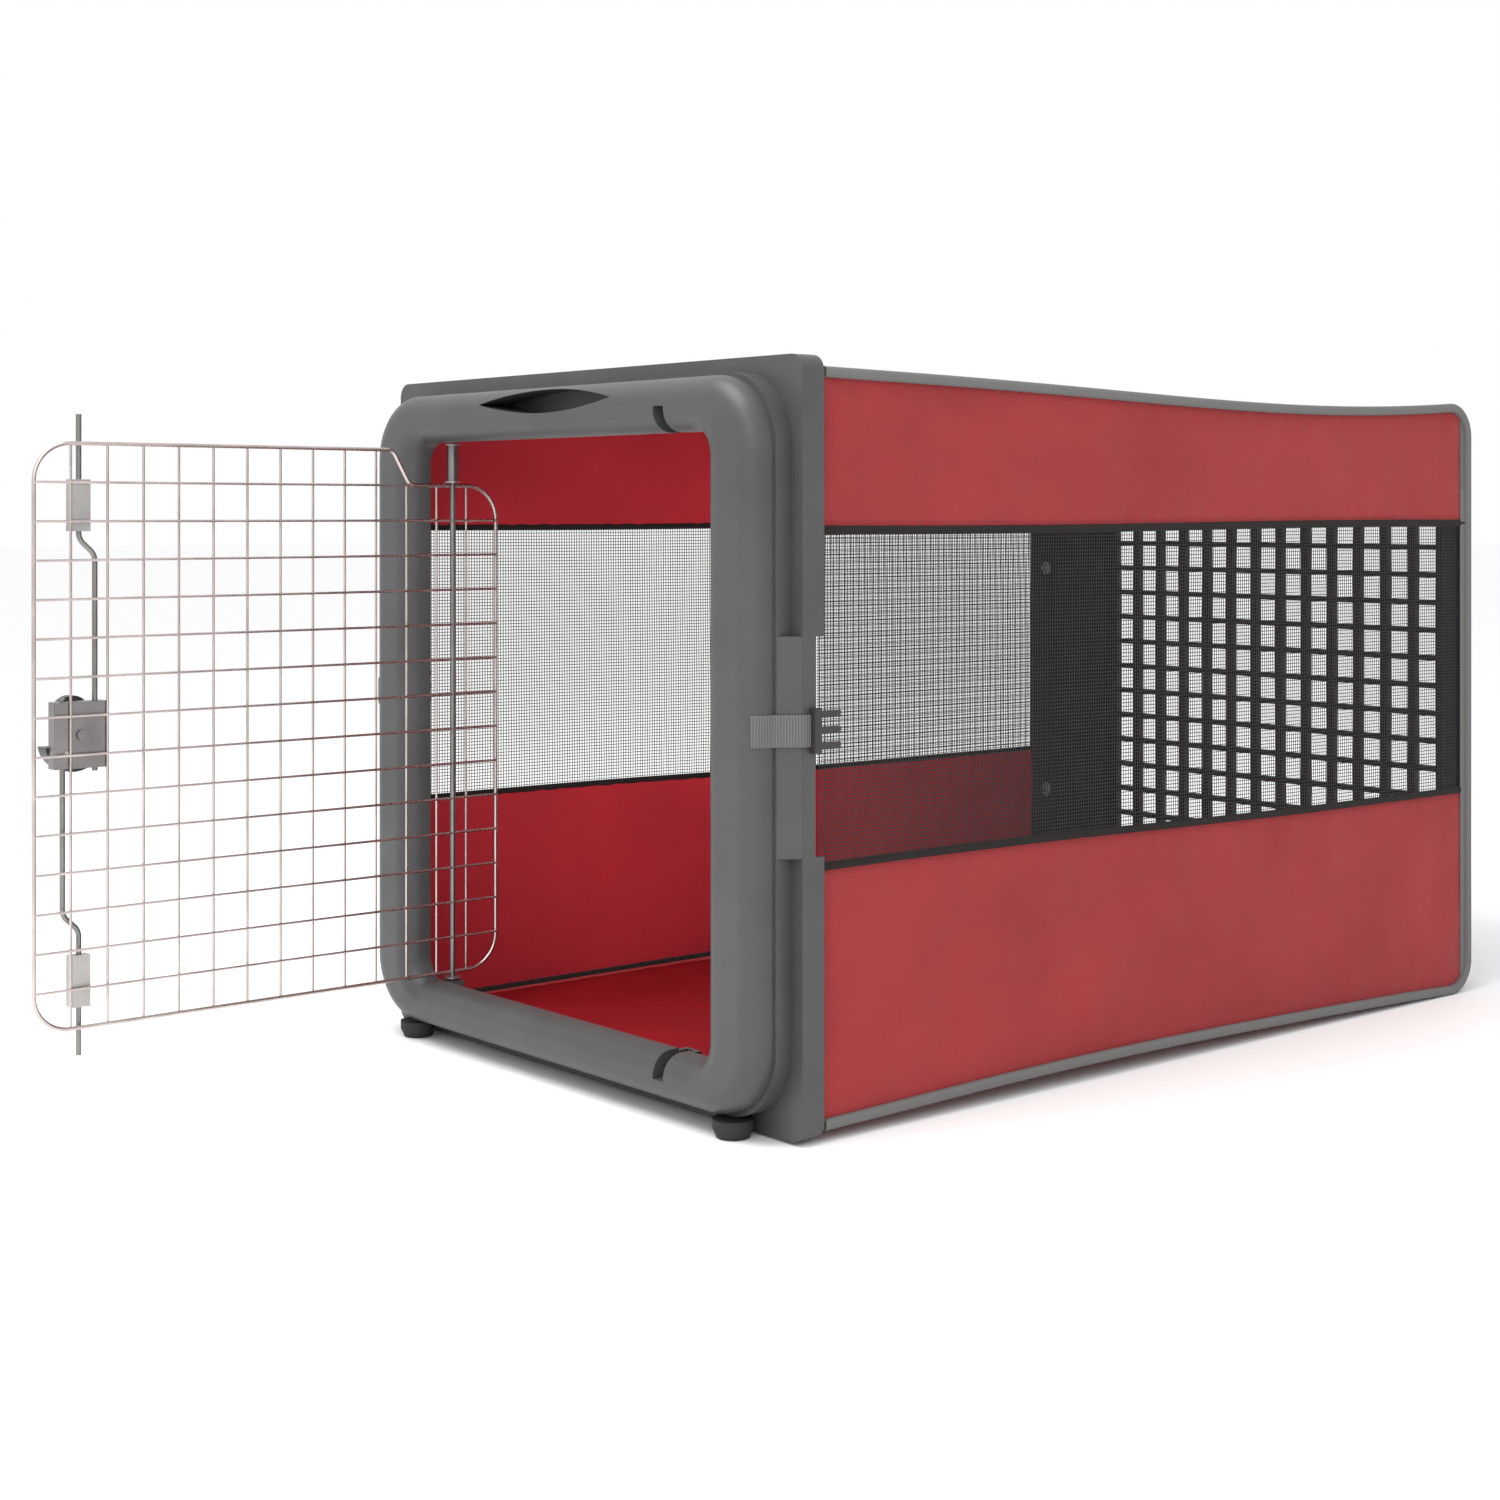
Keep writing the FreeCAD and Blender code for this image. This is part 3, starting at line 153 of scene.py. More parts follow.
def sweep(path: np.ndarray, profile: np.ndarray, up: np.ndarray,
          closed: bool = False) -> tuple[np.ndarray, list[tuple[int, ...]]]:
    """Carry a closed outline along a path.

    Args:
        path: Points of the path.
        profile: Outline as (sideways, upwards) pairs, or one outline for each point of the path.
        up: Direction of "upwards", one for the whole path or one for each of its points.
        closed: Whether the path is a loop.

    Returns:
        Vertices and faces, with both ends capped when the path is open.
    """
    if closed:
        tangent = np.roll(path, -1, 0) - np.roll(path, 1, 0)
    else:
        tangent = np.gradient(path, axis=0)
    tangent /= np.linalg.norm(tangent, axis=1, keepdims=True)
    up = np.broadcast_to(up, path.shape)
    side = np.cross(tangent, up)
    side /= np.linalg.norm(side, axis=1, keepdims=True)
    lift = np.cross(side, tangent)
    outline = np.broadcast_to(profile, (len(path), *np.shape(profile)[-2:]))
    rings = path[:, None] + side[:, None] * outline[..., :1] + lift[:, None] * outline[..., 1:]
    columns = outline.shape[1]
    if closed:
        rings = np.concatenate([rings, rings[:1]])
    faces = grid_faces(len(rings), columns, closed=True)
    if closed:
        faces = np.where(faces >= len(path) * columns, faces - len(path) * columns, faces)
        return rings[:-1].reshape(-1, 3), [tuple(f) for f in faces]
    last = (len(path) - 1) * columns
    ends = [tuple(range(columns)), tuple(range(last + columns - 1, last - 1, -1))]
    return rings.reshape(-1, 3), [tuple(f) for f in faces] + ends


def oval(width: float, height: float, sides: int = 16, square: float = 2.0) -> np.ndarray:
    """Super-ellipse outline: |x/a|^n + |y/b|^n = 1.

    Args:
        width: Full width.
        height: Full height.
        sides: Points round it.
        square: The power n; higher is squarer.

    Returns:
        Points of the outline.
    """
    angle = np.linspace(0.0, 2.0 * math.pi, sides, endpoint=False)
    c, s = np.cos(angle), np.sin(angle)
    return np.stack([width / 2 * np.sign(c) * np.abs(c) ** (2 / square),
                     height / 2 * np.sign(s) * np.abs(s) ** (2 / square)], axis=-1)


def merge(parts: Sequence[tuple[np.ndarray, Sequence[Sequence[int]]]]) -> tuple[np.ndarray, list[tuple[int, ...]]]:
    """Gather separate closed forms into one mesh.

    Args:
        parts: Vertices and faces of each form.

    Returns:
        All vertices and all faces.
    """
    points, faces, start = [], [], 0
    for some, around in parts:
        points.append(some)
        faces.extend(tuple(int(i) + start for i in f) for f in around)
        start += len(some)
    return np.concatenate(points), faces


def smoothstep(x: np.ndarray) -> np.ndarray:
    """Rise from 0 to 1 as x does, level at both ends: 3 x^2 - 2 x^3."""
    x = np.clip(x, 0.0, 1.0)
    return x * x * (3.0 - 2.0 * x)


def ripples(u: np.ndarray, v: np.ndarray, seed: int, waves: int, longest: float, shortest: float) -> np.ndarray:
    """Sum of sine waves of random direction and length, about -1 to 1.

    Args:
        u: First coordinate, in metres.
        v: Second coordinate, in metres.
        seed: Seed of the random draws.
        waves: How many waves are added.
        longest: Longest wavelength.
        shortest: Shortest wavelength.

    Returns:
        The height at each point.
    """
    draw = np.random.default_rng(seed)
    total = np.zeros(np.broadcast(u, v).shape)
    weight = 0.0
    for _ in range(waves):
        length = math.exp(draw.uniform(math.log(shortest), math.log(longest)))
        angle, phase = draw.uniform(0.0, math.pi), draw.uniform(0.0, 2.0 * math.pi)
        size = length / longest
        total += size * np.sin(2.0 * math.pi * (u * math.cos(angle) + v * math.sin(angle)) / length + phase)
        weight += size * size
    return total / math.sqrt(weight) / 1.6


# ------------------------------------------------------------------ finishes

class Nodes:
    """Short way to lay out a material's nodes."""

    def __init__(self, name: str) -> None:
        """Start an empty node material of that name."""
        self.material = bpy.data.materials.new(name)
        self.material.use_nodes = True
        self.tree = self.material.node_tree
        self.shader = self.tree.nodes["Principled BSDF"]
        self.where = self.add("ShaderNodeTexCoord").outputs["Object"]

    def add(self, kind: str, **values: object) -> bpy.types.Node:
        """Add a node and set its inputs or its own properties.

        Args:
            kind: Name of the node type.
            values: Input sockets, with underscores for spaces, or properties in lower case.

        Returns:
            The new node.
        """
        node = self.tree.nodes.new(kind)
        for key, value in values.items():
            if key[0].isupper():
                node.inputs[key.replace("_", " ")].default_value = value
            else:
                setattr(node, key, value)
        return node

    def link(self, source: bpy.types.NodeSocket, target: bpy.types.NodeSocket) -> None:
        """Join two sockets."""
        self.tree.links.new(source, target)

    def noise(self, scale: float, detail: float = 4.0, stretch: tuple[float, float, float] = (1, 1, 1),
              source: bpy.types.NodeSocket | None = None) -> bpy.types.NodeSocket:
        """Noise over the piece, with its pattern drawn out by a stretch along each axis."""
        mapping = self.add("ShaderNodeMapping", Scale=stretch)
        self.link(source or self.where, mapping.inputs["Vector"])
        node = self.add("ShaderNodeTexNoise", Scale=scale, Detail=detail)
        self.link(mapping.outputs["Vector"], node.inputs["Vector"])
        return node.outputs["Fac"]

    def bands(self, period: float, direction: str,
              source: bpy.types.NodeSocket | None = None) -> bpy.types.NodeSocket:
        """Sine bands of a given period, in metres, across one axis."""
        node = self.add("ShaderNodeTexWave", Scale=math.pi / 10.0 / period, bands_direction=direction)
        self.link(source or self.where, node.inputs["Vector"])
        return node.outputs["Fac"]

    def blend(self, amount: bpy.types.NodeSocket, low: Sequence[float], high: Sequence[float],
              socket: str = "Base Color", ends: tuple[float, float] = (0.3, 0.7)) -> bpy.types.NodeSocket:
        """Colour a shader input between two tones by a pattern."""
        ramp = self.add("ShaderNodeValToRGB")
        ramp.color_ramp.elements[0].color = (*low, 1.0)
        ramp.color_ramp.elements[0].position = ends[0]
        ramp.color_ramp.elements[1].color = (*high, 1.0)
        ramp.color_ramp.elements[1].position = ends[1]
        self.link(amount, ramp.inputs["Fac"])
        self.link(ramp.outputs["Color"], self.shader.inputs[socket])
        return ramp.outputs["Color"]

    def range(self, amount: bpy.types.NodeSocket, low: float, high: float, socket: str) -> None:
        """Drive a number of the shader between two values by a pattern."""
        node = self.add("ShaderNodeMapRange", To_Min=low, To_Max=high)
        self.link(amount, node.inputs["Value"])
        self.link(node.outputs["Result"], self.shader.inputs[socket])

    def bump(self, layers: Sequence[tuple[bpy.types.NodeSocket, float, float]]) -> None:
        """Stack bump layers, each a pattern with a strength and a height in metres."""
        normal = None
        for pattern, strength, height in layers:
            node = self.add("ShaderNodeBump", Strength=strength, Distance=height)
            self.link(pattern, node.inputs["Height"])
            if normal is not None:
                self.link(normal, node.inputs["Normal"])
            normal = node.outputs["Normal"]
        self.link(normal, self.shader.inputs["Normal"])


def shade(colour: Sequence[float], factor: float) -> tuple[float, float, float]:
    """A tone of a colour, lighter above 1 and darker below."""
    return tuple(min(1.0, c * factor) for c in colour[:3])


@dataclass(frozen=True)
class Moulding:
    """Moulded plastic with a fine spark-eroded grain and a slightly uneven sheen."""

    name: str
    colour: tuple[float, float, float]
    roughness: float = 0.5
    grain: float = 900.0
    depth: float = 0.00005
    specular: float = 0.4

    def build(self) -> bpy.types.Material:
        """Make the material."""
        nodes = Nodes(self.name)
        nodes.blend(nodes.noise(14.0, 5.0), shade(self.colour, 0.9), shade(self.colour, 1.1))
        nodes.range(nodes.noise(30.0, 4.0), self.roughness - 0.06, self.roughness + 0.08, "Roughness")
        nodes.bump([(nodes.noise(self.grain, 2.0), 0.35, self.depth), (nodes.noise(60.0, 3.0), 0.15, 0.0002)])
        nodes.shader.inputs["Specular IOR Level"].default_value = self.specular
        return nodes.material


class Weave(Enum):
    """The two axes that a cloth's threads run along."""

    UPRIGHT = ("Y", "Z")
    LEVEL = ("X", "Y")


@dataclass(frozen=True)
class Cloth:
    """Woven nylon: fine plain weave, a soft sheen and gentle uneven dye."""

    name: str
    colour: tuple[float, float, float]
    weave: Weave
    pitch: float = 0.0012
    roughness: float = 0.78
    sheen: float = 0.12

    def build(self) -> bpy.types.Material:
        """Make the material."""
        nodes = Nodes(self.name)
        nodes.blend(nodes.noise(9.0, 6.0), shade(self.colour, 0.9), shade(self.colour, 1.1))
        nodes.range(nodes.noise(26.0, 4.0), self.roughness - 0.06, self.roughness + 0.06, "Roughness")
        layers = [(nodes.bands(self.pitch, axis), 0.25, 0.0001) for axis in self.weave.value]
        slub = nodes.noise(90.0, 3.0, (1.0, 0.12, 1.0) if self.weave is Weave.UPRIGHT else (0.12, 1.0, 1.0))
        layers += [(slub, 0.2, 0.0003), (nodes.noise(22.0, 4.0), 0.25, 0.0012)]
        nodes.bump(layers)
        nodes.shader.inputs["Sheen Weight"].default_value = self.sheen
        nodes.shader.inputs["Sheen Roughness"].default_value = 0.45
        nodes.shader.inputs["Specular IOR Level"].default_value = 0.15
        return nodes.material


@dataclass(frozen=True)
class Tape:
    """Narrow woven tape: ribs across its length, read from the piece's own UV map."""

    name: str
    colour: tuple[float, float, float]
    rib: float = 0.0016
    roughness: float = 0.8

    def build(self) -> bpy.types.Material:
        """Make the material."""
        nodes = Nodes(self.name)
        uv = nodes.add("ShaderNodeUVMap", uv_map="length").outputs["UV"]
        ribs = nodes.bands(self.rib, "X", uv)
        nodes.blend(ribs, shade(self.colour, 0.72), shade(self.colour, 1.15), ends=(0.1, 0.9))
        nodes.range(nodes.noise(40.0), self.roughness - 0.08, self.roughness + 0.08, "Roughness")
        nodes.bump([(ribs, 0.5, 0.0003), (nodes.noise(500.0, 2.0), 0.3, 0.0001)])
        nodes.shader.inputs["Sheen Weight"].default_value = 0.05
        nodes.shader.inputs["Specular IOR Level"].default_value = 0.2
        return nodes.material


@dataclass(frozen=True)
class Metal:
    """Drawn or stamped steel with a bright, faintly streaked surface."""

    name: str
    colour: tuple[float, float, float]
    roughness: float = 0.28
    streak: tuple[float, float, float] = (1.0, 1.0, 1.0)

    def build(self) -> bpy.types.Material:
        """Make the material."""
        nodes = Nodes(self.name)
        nodes.blend(nodes.noise(35.0, 5.0), shade(self.colour, 0.82), shade(self.colour, 1.08))
        nodes.range(nodes.noise(120.0, 4.0, self.streak), self.roughness - 0.08, self.roughness + 0.12, "Roughness")
        nodes.bump([(nodes.noise(400.0, 2.0, self.streak), 0.2, 0.00004)])
        nodes.shader.inputs["Metallic"].default_value = 1.0
        return nodes.material


@dataclass(frozen=True)
class Thread:
    """Coated polyester thread of the netting and the stitches."""

    name: str
    colour: tuple[float, float, float]
    roughness: float = 0.6

    def build(self) -> bpy.types.Material:
        """Make the material."""
        nodes = Nodes(self.name)
        nodes.blend(nodes.noise(60.0), shade(self.colour, 0.8), shade(self.colour, 1.2))
        nodes.range(nodes.noise(300.0), self.roughness - 0.1, self.roughness + 0.1, "Roughness")
        nodes.bump([(nodes.noise(1500.0, 1.0), 0.3, 0.00005)])
        return nodes.material


GREY_SHELL = Moulding("grey_shell", (0.06, 0.06, 0.0605), 0.4)
BLACK_SHELL = Moulding("black_shell", (0.013, 0.01, 0.0094), 0.55, specular=0.2)
BLACK_FITTING = Moulding("black_fitting", (0.03, 0.028, 0.028), 0.36, 1400.0)
GREY_FITTING = Moulding("grey_fitting", (0.058, 0.058, 0.058), 0.34, 1400.0)
FOOT_RUBBER = Moulding("foot_rubber", (0.022, 0.022, 0.022), 0.75, 500.0, 0.0001)
RED_SIDE = Cloth("red_side_cloth", (0.285, 0.031, 0.034), Weave.UPRIGHT)
# Painted light: the lining is the side cloth in a second tone, redder and brighter, to match the inside of the kennel
# as it is lit. The difference between the two tones is painted light, not a different dye.
RED_LINING_PAINTED_LIGHT = Cloth("red_lining_painted_light", (0.36, 0.018, 0.028), Weave.UPRIGHT, sheen=0.02)
RED_TOP = Cloth("red_top_cloth", (0.285, 0.031, 0.034), Weave.LEVEL)
RED_MAT = Cloth("red_mat_cloth", (0.22, 0.003, 0.007), Weave.LEVEL, 0.0016, 0.8, 0.0)
RED_PIPING = Tape("red_piping", (0.33, 0.03, 0.035))
GREY_BINDING = Tape("grey_binding_tape", (0.155, 0.155, 0.152))
BLACK_PIPING = Tape("black_piping_tape", (0.014, 0.0105, 0.0095))
GREY_WEBBING = Tape("grey_webbing", (0.125, 0.125, 0.127), 0.0022)
NET_THREAD = Thread("net_thread", (0.018, 0.018, 0.019), 0.55)
STITCH_RED = Thread("red_stitch", (0.22, 0.015, 0.02))
BRIGHT_WIRE = Metal("bright_wire", (0.56, 0.49, 0.47), 0.26)
DULL_STEEL = Metal("dull_steel", (0.24, 0.235, 0.23), 0.32)
PRESSED_STEEL = Metal("pressed_steel", (0.26, 0.25, 0.245), 0.34, (1.0, 8.0, 1.0))
ZINC = Metal("zinc_plate", (0.45, 0.44, 0.43), 0.42, (1.0, 1.0, 0.15))


class Dresser:
    """Keeps one copy of each material and puts it on pieces."""

    def __init__(self) -> None:
        """Start with no materials made."""
        self.made: dict[str, bpy.types.Material] = {}

    def dress(self, piece: bpy.types.Object, finish: object) -> bpy.types.Object:
        """Give a piece one finish.

        Args:
            piece: The object.
            finish: The finish to put on it.

        Returns:
            The same object.
        """
        if finish.name not in self.made:
            self.made[finish.name] = finish.build()
        piece.data.materials.clear()
        piece.data.materials.append(self.made[finish.name])
        return piece

    def line(self, piece: bpy.types.Object, finish: object, count: int) -> bpy.types.Object:
        """Give the second face of a sheet its own finish.

        Args:
            piece: A sheet whose first face and second face have the same number of quads.
            finish: The finish of the second face.
            count: Quads in one face.

        Returns:
            The same object.
        """
        if finish.name not in self.made:
            self.made[finish.name] = finish.build()
        piece.data.materials.append(self.made[finish.name])
        index = np.zeros(len(piece.data.polygons), int)
        index[count:2 * count] = 1
        piece.data.polygons.foreach_set("material_index", index)
        return piece


DRESS = Dresser()


def add_length_uv(piece: bpy.types.Object, along: np.ndarray, across: np.ndarray) -> None:
    """Give a piece a UV map whose first axis is the distance along it.

    Args:
        piece: The object.
        along: Distance along the piece at each vertex, in metres.
        across: Distance across the piece at each vertex, in metres.
    """
    layer = piece.data.uv_layers.new(name="length")
    corner = np.zeros(len(piece.data.loops), int)
    piece.data.loops.foreach_get("vertex_index", corner)
    layer.data.foreach_set("uv", np.stack([along[corner], across[corner]], axis=-1).ravel())


def fasten(piece: bpy.types.Object, body: str, slot: str, *nodes: str) -> bpy.types.Object:
    """Let a piece ride on a body and stand for solids.

    Args:
        piece: The finished object.
        body: Body that it moves with.
        slot: Not used.
        nodes: Solids that it stands for.

    Returns:
        The same object.
    """
    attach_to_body(piece, body)
    if nodes:
        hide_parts(*nodes)
    LOG.info("%s rides on %s", piece.name, body)
    return piece


# ------------------------------------------------------------------ soft body

@dataclass
class FabricBody:
    """Fabric tube between the front shell and the rear shell, with its windows, trims and mat."""

    half: float = 0.2785
    front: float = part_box("roof_panel")[0].y
    back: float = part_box("roof_panel")[1].y
    split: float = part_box("rear_shell")[0].y - 0.001
    floor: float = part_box("floor_panel")[0].z
    roof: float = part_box("roof_panel")[1].z
    thick: float = 0.0026
    window_low: float = 0.207
    window_high: float = 0.464
    piping: float = 0.0066
    net_pitch: float = 0.003
    net_thread: float = 0.00062
    net_share: float = 0.6
    corner: float = 0.028
    binding: float = 0.0076
    travel: float = 0.82
    depths: tuple[float, ...] = (0.0, 0.061, 0.25, 0.437, 0.644, 0.829, 0.9, 0.93)
    roof_dip: tuple[float, ...] = (0.001, 0.0015, 0.0055, 0.0095, 0.014, 0.0095, 0.0045, 0.0035)
    floor_rise: tuple[float, ...] = (0.002, 0.0025, 0.0055, 0.0065, 0.002, -0.003, -0.006, -0.0075)

    def curve(self, y: np.ndarray, heights: Sequence[float]) -> np.ndarray:
        """Smooth curve over the depth: a polynomial through the measured heights."""
        depth = np.array(self.depths)
        fit = np.polyfit(depth, np.array(heights), 5)
        return np.polyval(fit, y - self.front + 0.042)

    def turn_down(self, y: np.ndarray) -> np.ndarray:
        """How far an edge has turned in at the rear corner: R - sqrt(R^2 - d^2)."""
        into = np.clip(y - (self.back - self.corner), 0.0, self.corner * 0.999)
        return self.corner - np.sqrt(self.corner ** 2 - into ** 2)

    def top_edge(self, y: np.ndarray) -> np.ndarray:
        """Height of the upper side seam."""
        return self.roof - self.curve(y, self.roof_dip)

    def low_edge(self, y: np.ndarray) -> np.ndarray:
        """Height of the lower side seam."""
        return self.floor + self.curve(y, self.floor_rise)

    def window_edge(self, y: np.ndarray, low: bool) -> np.ndarray:
        """Height of a window seam, nearly straight with a shallow wave."""
        share = (y - self.front) / (self.back - self.front)
        if low:
            return self.window_low + 0.001 - 0.008 * share + 0.0012 * np.sin(7.0 * share)
        return self.window_high + 0.0025 * share - 0.001 * np.sin(6.0 * share)

    def wall(self, sign: int, y: np.ndarray, z: np.ndarray) -> np.ndarray:
        """Sideways place of a side wall: its half width, bowed in a little, with slack waves."""
        share = np.clip((y - self.front) / (self.back - self.front), 0.0, 1.0)
        tall = np.clip((z - self.floor) / (self.roof - self.floor), 0.0, 1.0)
        free = np.sin(math.pi * share) ** 0.7 * np.sin(math.pi * tall) ** 0.7
        slack = ripples(y, z, 11 if sign > 0 else 12, 9, 0.55, 0.16)
        return sign * (self.half - 0.0045 * free + 0.0016 * free * slack)

    def puckers(self, along: np.ndarray, off: np.ndarray, seed: int) -> np.ndarray:
        """Small gathers beside a seam, gone a few centimetres away from it."""
        draw = np.random.default_rng(seed)
        total = np.zeros(np.broadcast(along, off).shape)
        for _ in range(7):
            length = draw.uniform(0.012, 0.034)
            total += np.sin(2.0 * math.pi * along / length + draw.uniform(0.0, 6.28) + 18.0 * off)
        return total / 7.0 * np.exp(-np.abs(off) / 0.018)

    def side_cover(self, sign: int, name: str, low: object, high: object, rows: int, seed: int,
                   reach: tuple[float, float]) -> bpy.types.Object:
        """A padded band of a side wall, between two seams that are functions of the depth.

        Args:
            sign: 1 for the right side and -1 for the left.
            name: Name of the piece.
            low: Height of the lower seam as a function of y.
            high: Height of the upper seam as a function of y.
            rows: Points up the band.
            seed: Seed of its folds.
            reach: Where it starts and ends along the depth.

        Returns:
            The new object.
        """
        y = self.stations(reach, 0.0037)[:, None]
        t = np.linspace(0.0, 1.0, rows)[None, :]
        bottom, top = low(y), high(y)
        z = bottom + t * (top - bottom)
        y = y + 0.0 * t
        out = self.wall(sign, y, z)
        off_low, off_high = z - bottom, top - z
        ends = np.clip(np.minimum(y - self.front - 0.012, self.back - 0.006 - y), 0.0, 1.0)
        edge = np.minimum(np.minimum(off_low, off_high), ends)
        loft = 0.0022 * smoothstep(edge / 0.03)
        crease = 0.0011 * ripples(y, z, seed, 14, 0.16, 0.035) * smoothstep(edge / 0.02)
        gather = 0.0007 * (self.puckers(y, off_low, seed + 1) + self.puckers(y, off_high, seed + 2))
        outward = loft + crease + gather * smoothstep(ends / 0.02)
        face = np.stack([out + sign * outward, y, z], axis=-1)
        lining = np.stack([out - sign * (self.thick + 0.6 * outward), y, z], axis=-1)
        piece = DRESS.dress(make_piece(name, *slab(face, lining)), RED_SIDE)
        # The second face gets the lining tone, a painted-light retune of the side cloth.
        return DRESS.line(piece, RED_LINING_PAINTED_LIGHT, (face.shape[0] - 1) * (face.shape[1] - 1))

    def stations(self, reach: tuple[float, float], step: float) -> np.ndarray:
        """Depths from one end of a stretch to the other, close to a given step apart."""
        return np.linspace(*reach, max(3, round((reach[1] - reach[0]) / step) + 1))

    def level_cover(self, name: str, top: bool, finish: object, reach: tuple[float, float]) -> bpy.types.Object:
        """The roof or the floor: a sheet that hangs a little between its side seams.

        Args:
            name: Name of the piece.
            top: True for the roof.
            finish: Its finish.
            reach: Where it starts and ends along the depth.

        Returns:
            The new object.
        """
        y = self.stations(reach, 0.0044)[:, None]
        x = np.linspace(-self.half, self.half, 120)[None, :]
        near = smoothstep((np.abs(x) - 0.262) / 0.0165)
        y2, x2 = y + 0.0 * x, x + 0.0 * y
        middle = 1.0 - (x2 / self.half) ** 2
        share = np.clip((y2 - self.front) / (self.back - self.front), 0.0, 1.0)
        free = middle * np.sin(math.pi * np.clip(share * 1.04, 0.0, 1.0)) ** 0.8
        waves = ripples(x2, y2, 31 if top else 32, 12, 0.4, 0.06)
        off = self.half - np.abs(x2)
        if top:
            z = self.top_edge(y2) - self.turn_down(y2) * near - 0.007 * free + 0.0012 * waves * smoothstep(off / 0.03)
            z = z + 0.0006 * self.puckers(y2, off, 41)
            lower = z - self.thick
        else:
            z = self.low_edge(y2) + self.turn_down(y2) * near * 0.6 + 0.0004 * waves * smoothstep(off / 0.03)
            lower = z + self.thick
        outer = np.stack([x2, y2, z], axis=-1)
        inner = np.stack([x2, y2, lower], axis=-1)
        return DRESS.dress(make_piece(name, *slab(outer, inner)), finish)

    def net(self, sign: int, name: str, reach: tuple[float, float]) -> bpy.types.Object:
        """Netting of a side window: flat threads crossing at an even pitch, each a thin closed ribbon."""
        low, high = self.window_low + 0.002, self.window_high - 0.001
        ribbons = []
        outline = np.array([[-1, -1], [1, -1], [1, 1], [-1, 1]]) * np.array([self.net_thread, 0.00032]) / 2
        lift = np.array([float(sign), 0.0, 0.0])
        uprights = np.arange(self.front + 0.02, self.back - 0.006, self.net_pitch)
        for y in uprights[(uprights >= reach[0]) & (uprights < reach[1])]:
            spot = np.array([y])
            z = np.linspace(self.window_edge(spot, True)[0], self.window_edge(spot, False)[0], 7)
            path = np.stack([self.wall(sign, np.full_like(z, y), z), np.full_like(z, y), z], axis=-1)
            ribbons.append(sweep(path, outline, lift))
        y = self.stations((max(reach[0], self.front + 0.02), min(reach[1], self.back - 0.006)), 0.026)
        for k in np.arange(0.5, (high - low) / self.net_pitch):
            z = self.window_edge(y, True) + (self.window_edge(y, False) - self.window_edge(y, True)) * (
                k * self.net_pitch / (high - low))
            path = np.stack([self.wall(sign, y, z) - sign * 0.0004, y, z], axis=-1)
            ribbons.append(sweep(path, outline, lift))
        return DRESS.dress(make_piece(name, *merge(ribbons), smooth=False), NET_THREAD)

    def trim(self, name: str, path: np.ndarray, profile: np.ndarray, up: np.ndarray,
             finish: object) -> bpy.types.Object:
        """A tape carried along a path, with its length on a UV map.

        Args:
            name: Name of the piece.
            path: Points of the path.
            profile: Outline of the tape.
            up: Direction that its second axis points in.
            finish: Its finish.

        Returns:
            The new object.
        """
        points, faces = sweep(path, profile, up)
        piece = make_piece(name, points, faces)
        step = np.concatenate([[0.0], np.cumsum(np.linalg.norm(np.diff(path, axis=0), axis=1))])
        sides = profile.shape[-2]
        round_ = np.linspace(0.0, 0.03, sides)
        add_length_uv(piece, np.repeat(step, sides), np.tile(round_, len(path)))
        return DRESS.dress(piece, finish)

    def stitch_row(self, name: str, path: np.ndarray, finish: object, pitch: float = 0.0042,
                   long_: float = 0.003, thick: float = 0.0007) -> bpy.types.Object:
        """A row of stitches: short ovals lying along a path at an even pitch.

        Args:
            name: Name of the piece.
            path: Points of the path.
            finish: Finish of the thread.
            pitch: Distance from one stitch to the next.
            long_: Length of a stitch.
            thick: Thickness of the thread.

        Returns:
            The new object.
        """
        step = np.concatenate([[0.0], np.cumsum(np.linalg.norm(np.diff(path, axis=0), axis=1))])
        at = np.arange(pitch, step[-1] - pitch, pitch)
        middle = np.stack([np.interp(at, step, path[:, k]) for k in range(3)], axis=-1)
        ahead = np.stack([np.interp(at + 0.001, step, path[:, k]) for k in range(3)], axis=-1)
        run = (ahead - middle) / np.linalg.norm(ahead - middle, axis=1, keepdims=True)
        side = np.cross(run, np.array([1.0, 0.02, 0.03]))
        flat = np.linalg.norm(side, axis=1, keepdims=True) < 0.2
        side = np.where(flat, np.cross(run, np.array([0.02, 0.03, 1.0])), side)
        side /= np.linalg.norm(side, axis=1, keepdims=True)
        lift = np.cross(side, run)
        stations = np.array([-1.0, -0.6, 0.6, 1.0])
        girth = np.array([0.25, 1.0, 1.0, 0.25])
        angle = np.linspace(0.0, 2.0 * math.pi, STITCH_SIDES, endpoint=False)
        reach = stations[:, None, None] * run[:, None, None, None, :] * long_ / 2
        ring = reach.reshape(len(at), STITCH_STATIONS, 1, 3)
        round_ = (np.cos(angle)[:, None] * side[:, None, :] + np.sin(angle)[:, None] * lift[:, None, :]) * thick / 2
        points = middle[:, None, None] + ring + girth[None, :, None, None] * round_[:, None]
        faces = grid_faces(STITCH_STATIONS, STITCH_SIDES, closed=True)
        count = STITCH_STATIONS * STITCH_SIDES
        caps = [tuple(range(STITCH_SIDES)), tuple(range(count - 1, count - 1 - STITCH_SIDES, -1))]
        every = [tuple(f + count * n) for n in range(len(at)) for f in faces]
        every += [tuple(i + count * n for i in cap) for n in range(len(at)) for cap in caps]
        return DRESS.dress(make_piece(name, points.reshape(-1, 3), every), finish)

    def run_path(self, sign: int, top: bool) -> np.ndarray:
        """Seam along the top or the bottom of a side wall, from the front shell to the rear shell."""
        y = np.linspace(self.front + 0.0225, self.split, 90)
        z = self.top_edge(y) if top else self.low_edge(y)
        return np.stack([np.full_like(y, sign * (self.half + SEAM_OUTSET)), y, z], axis=-1)

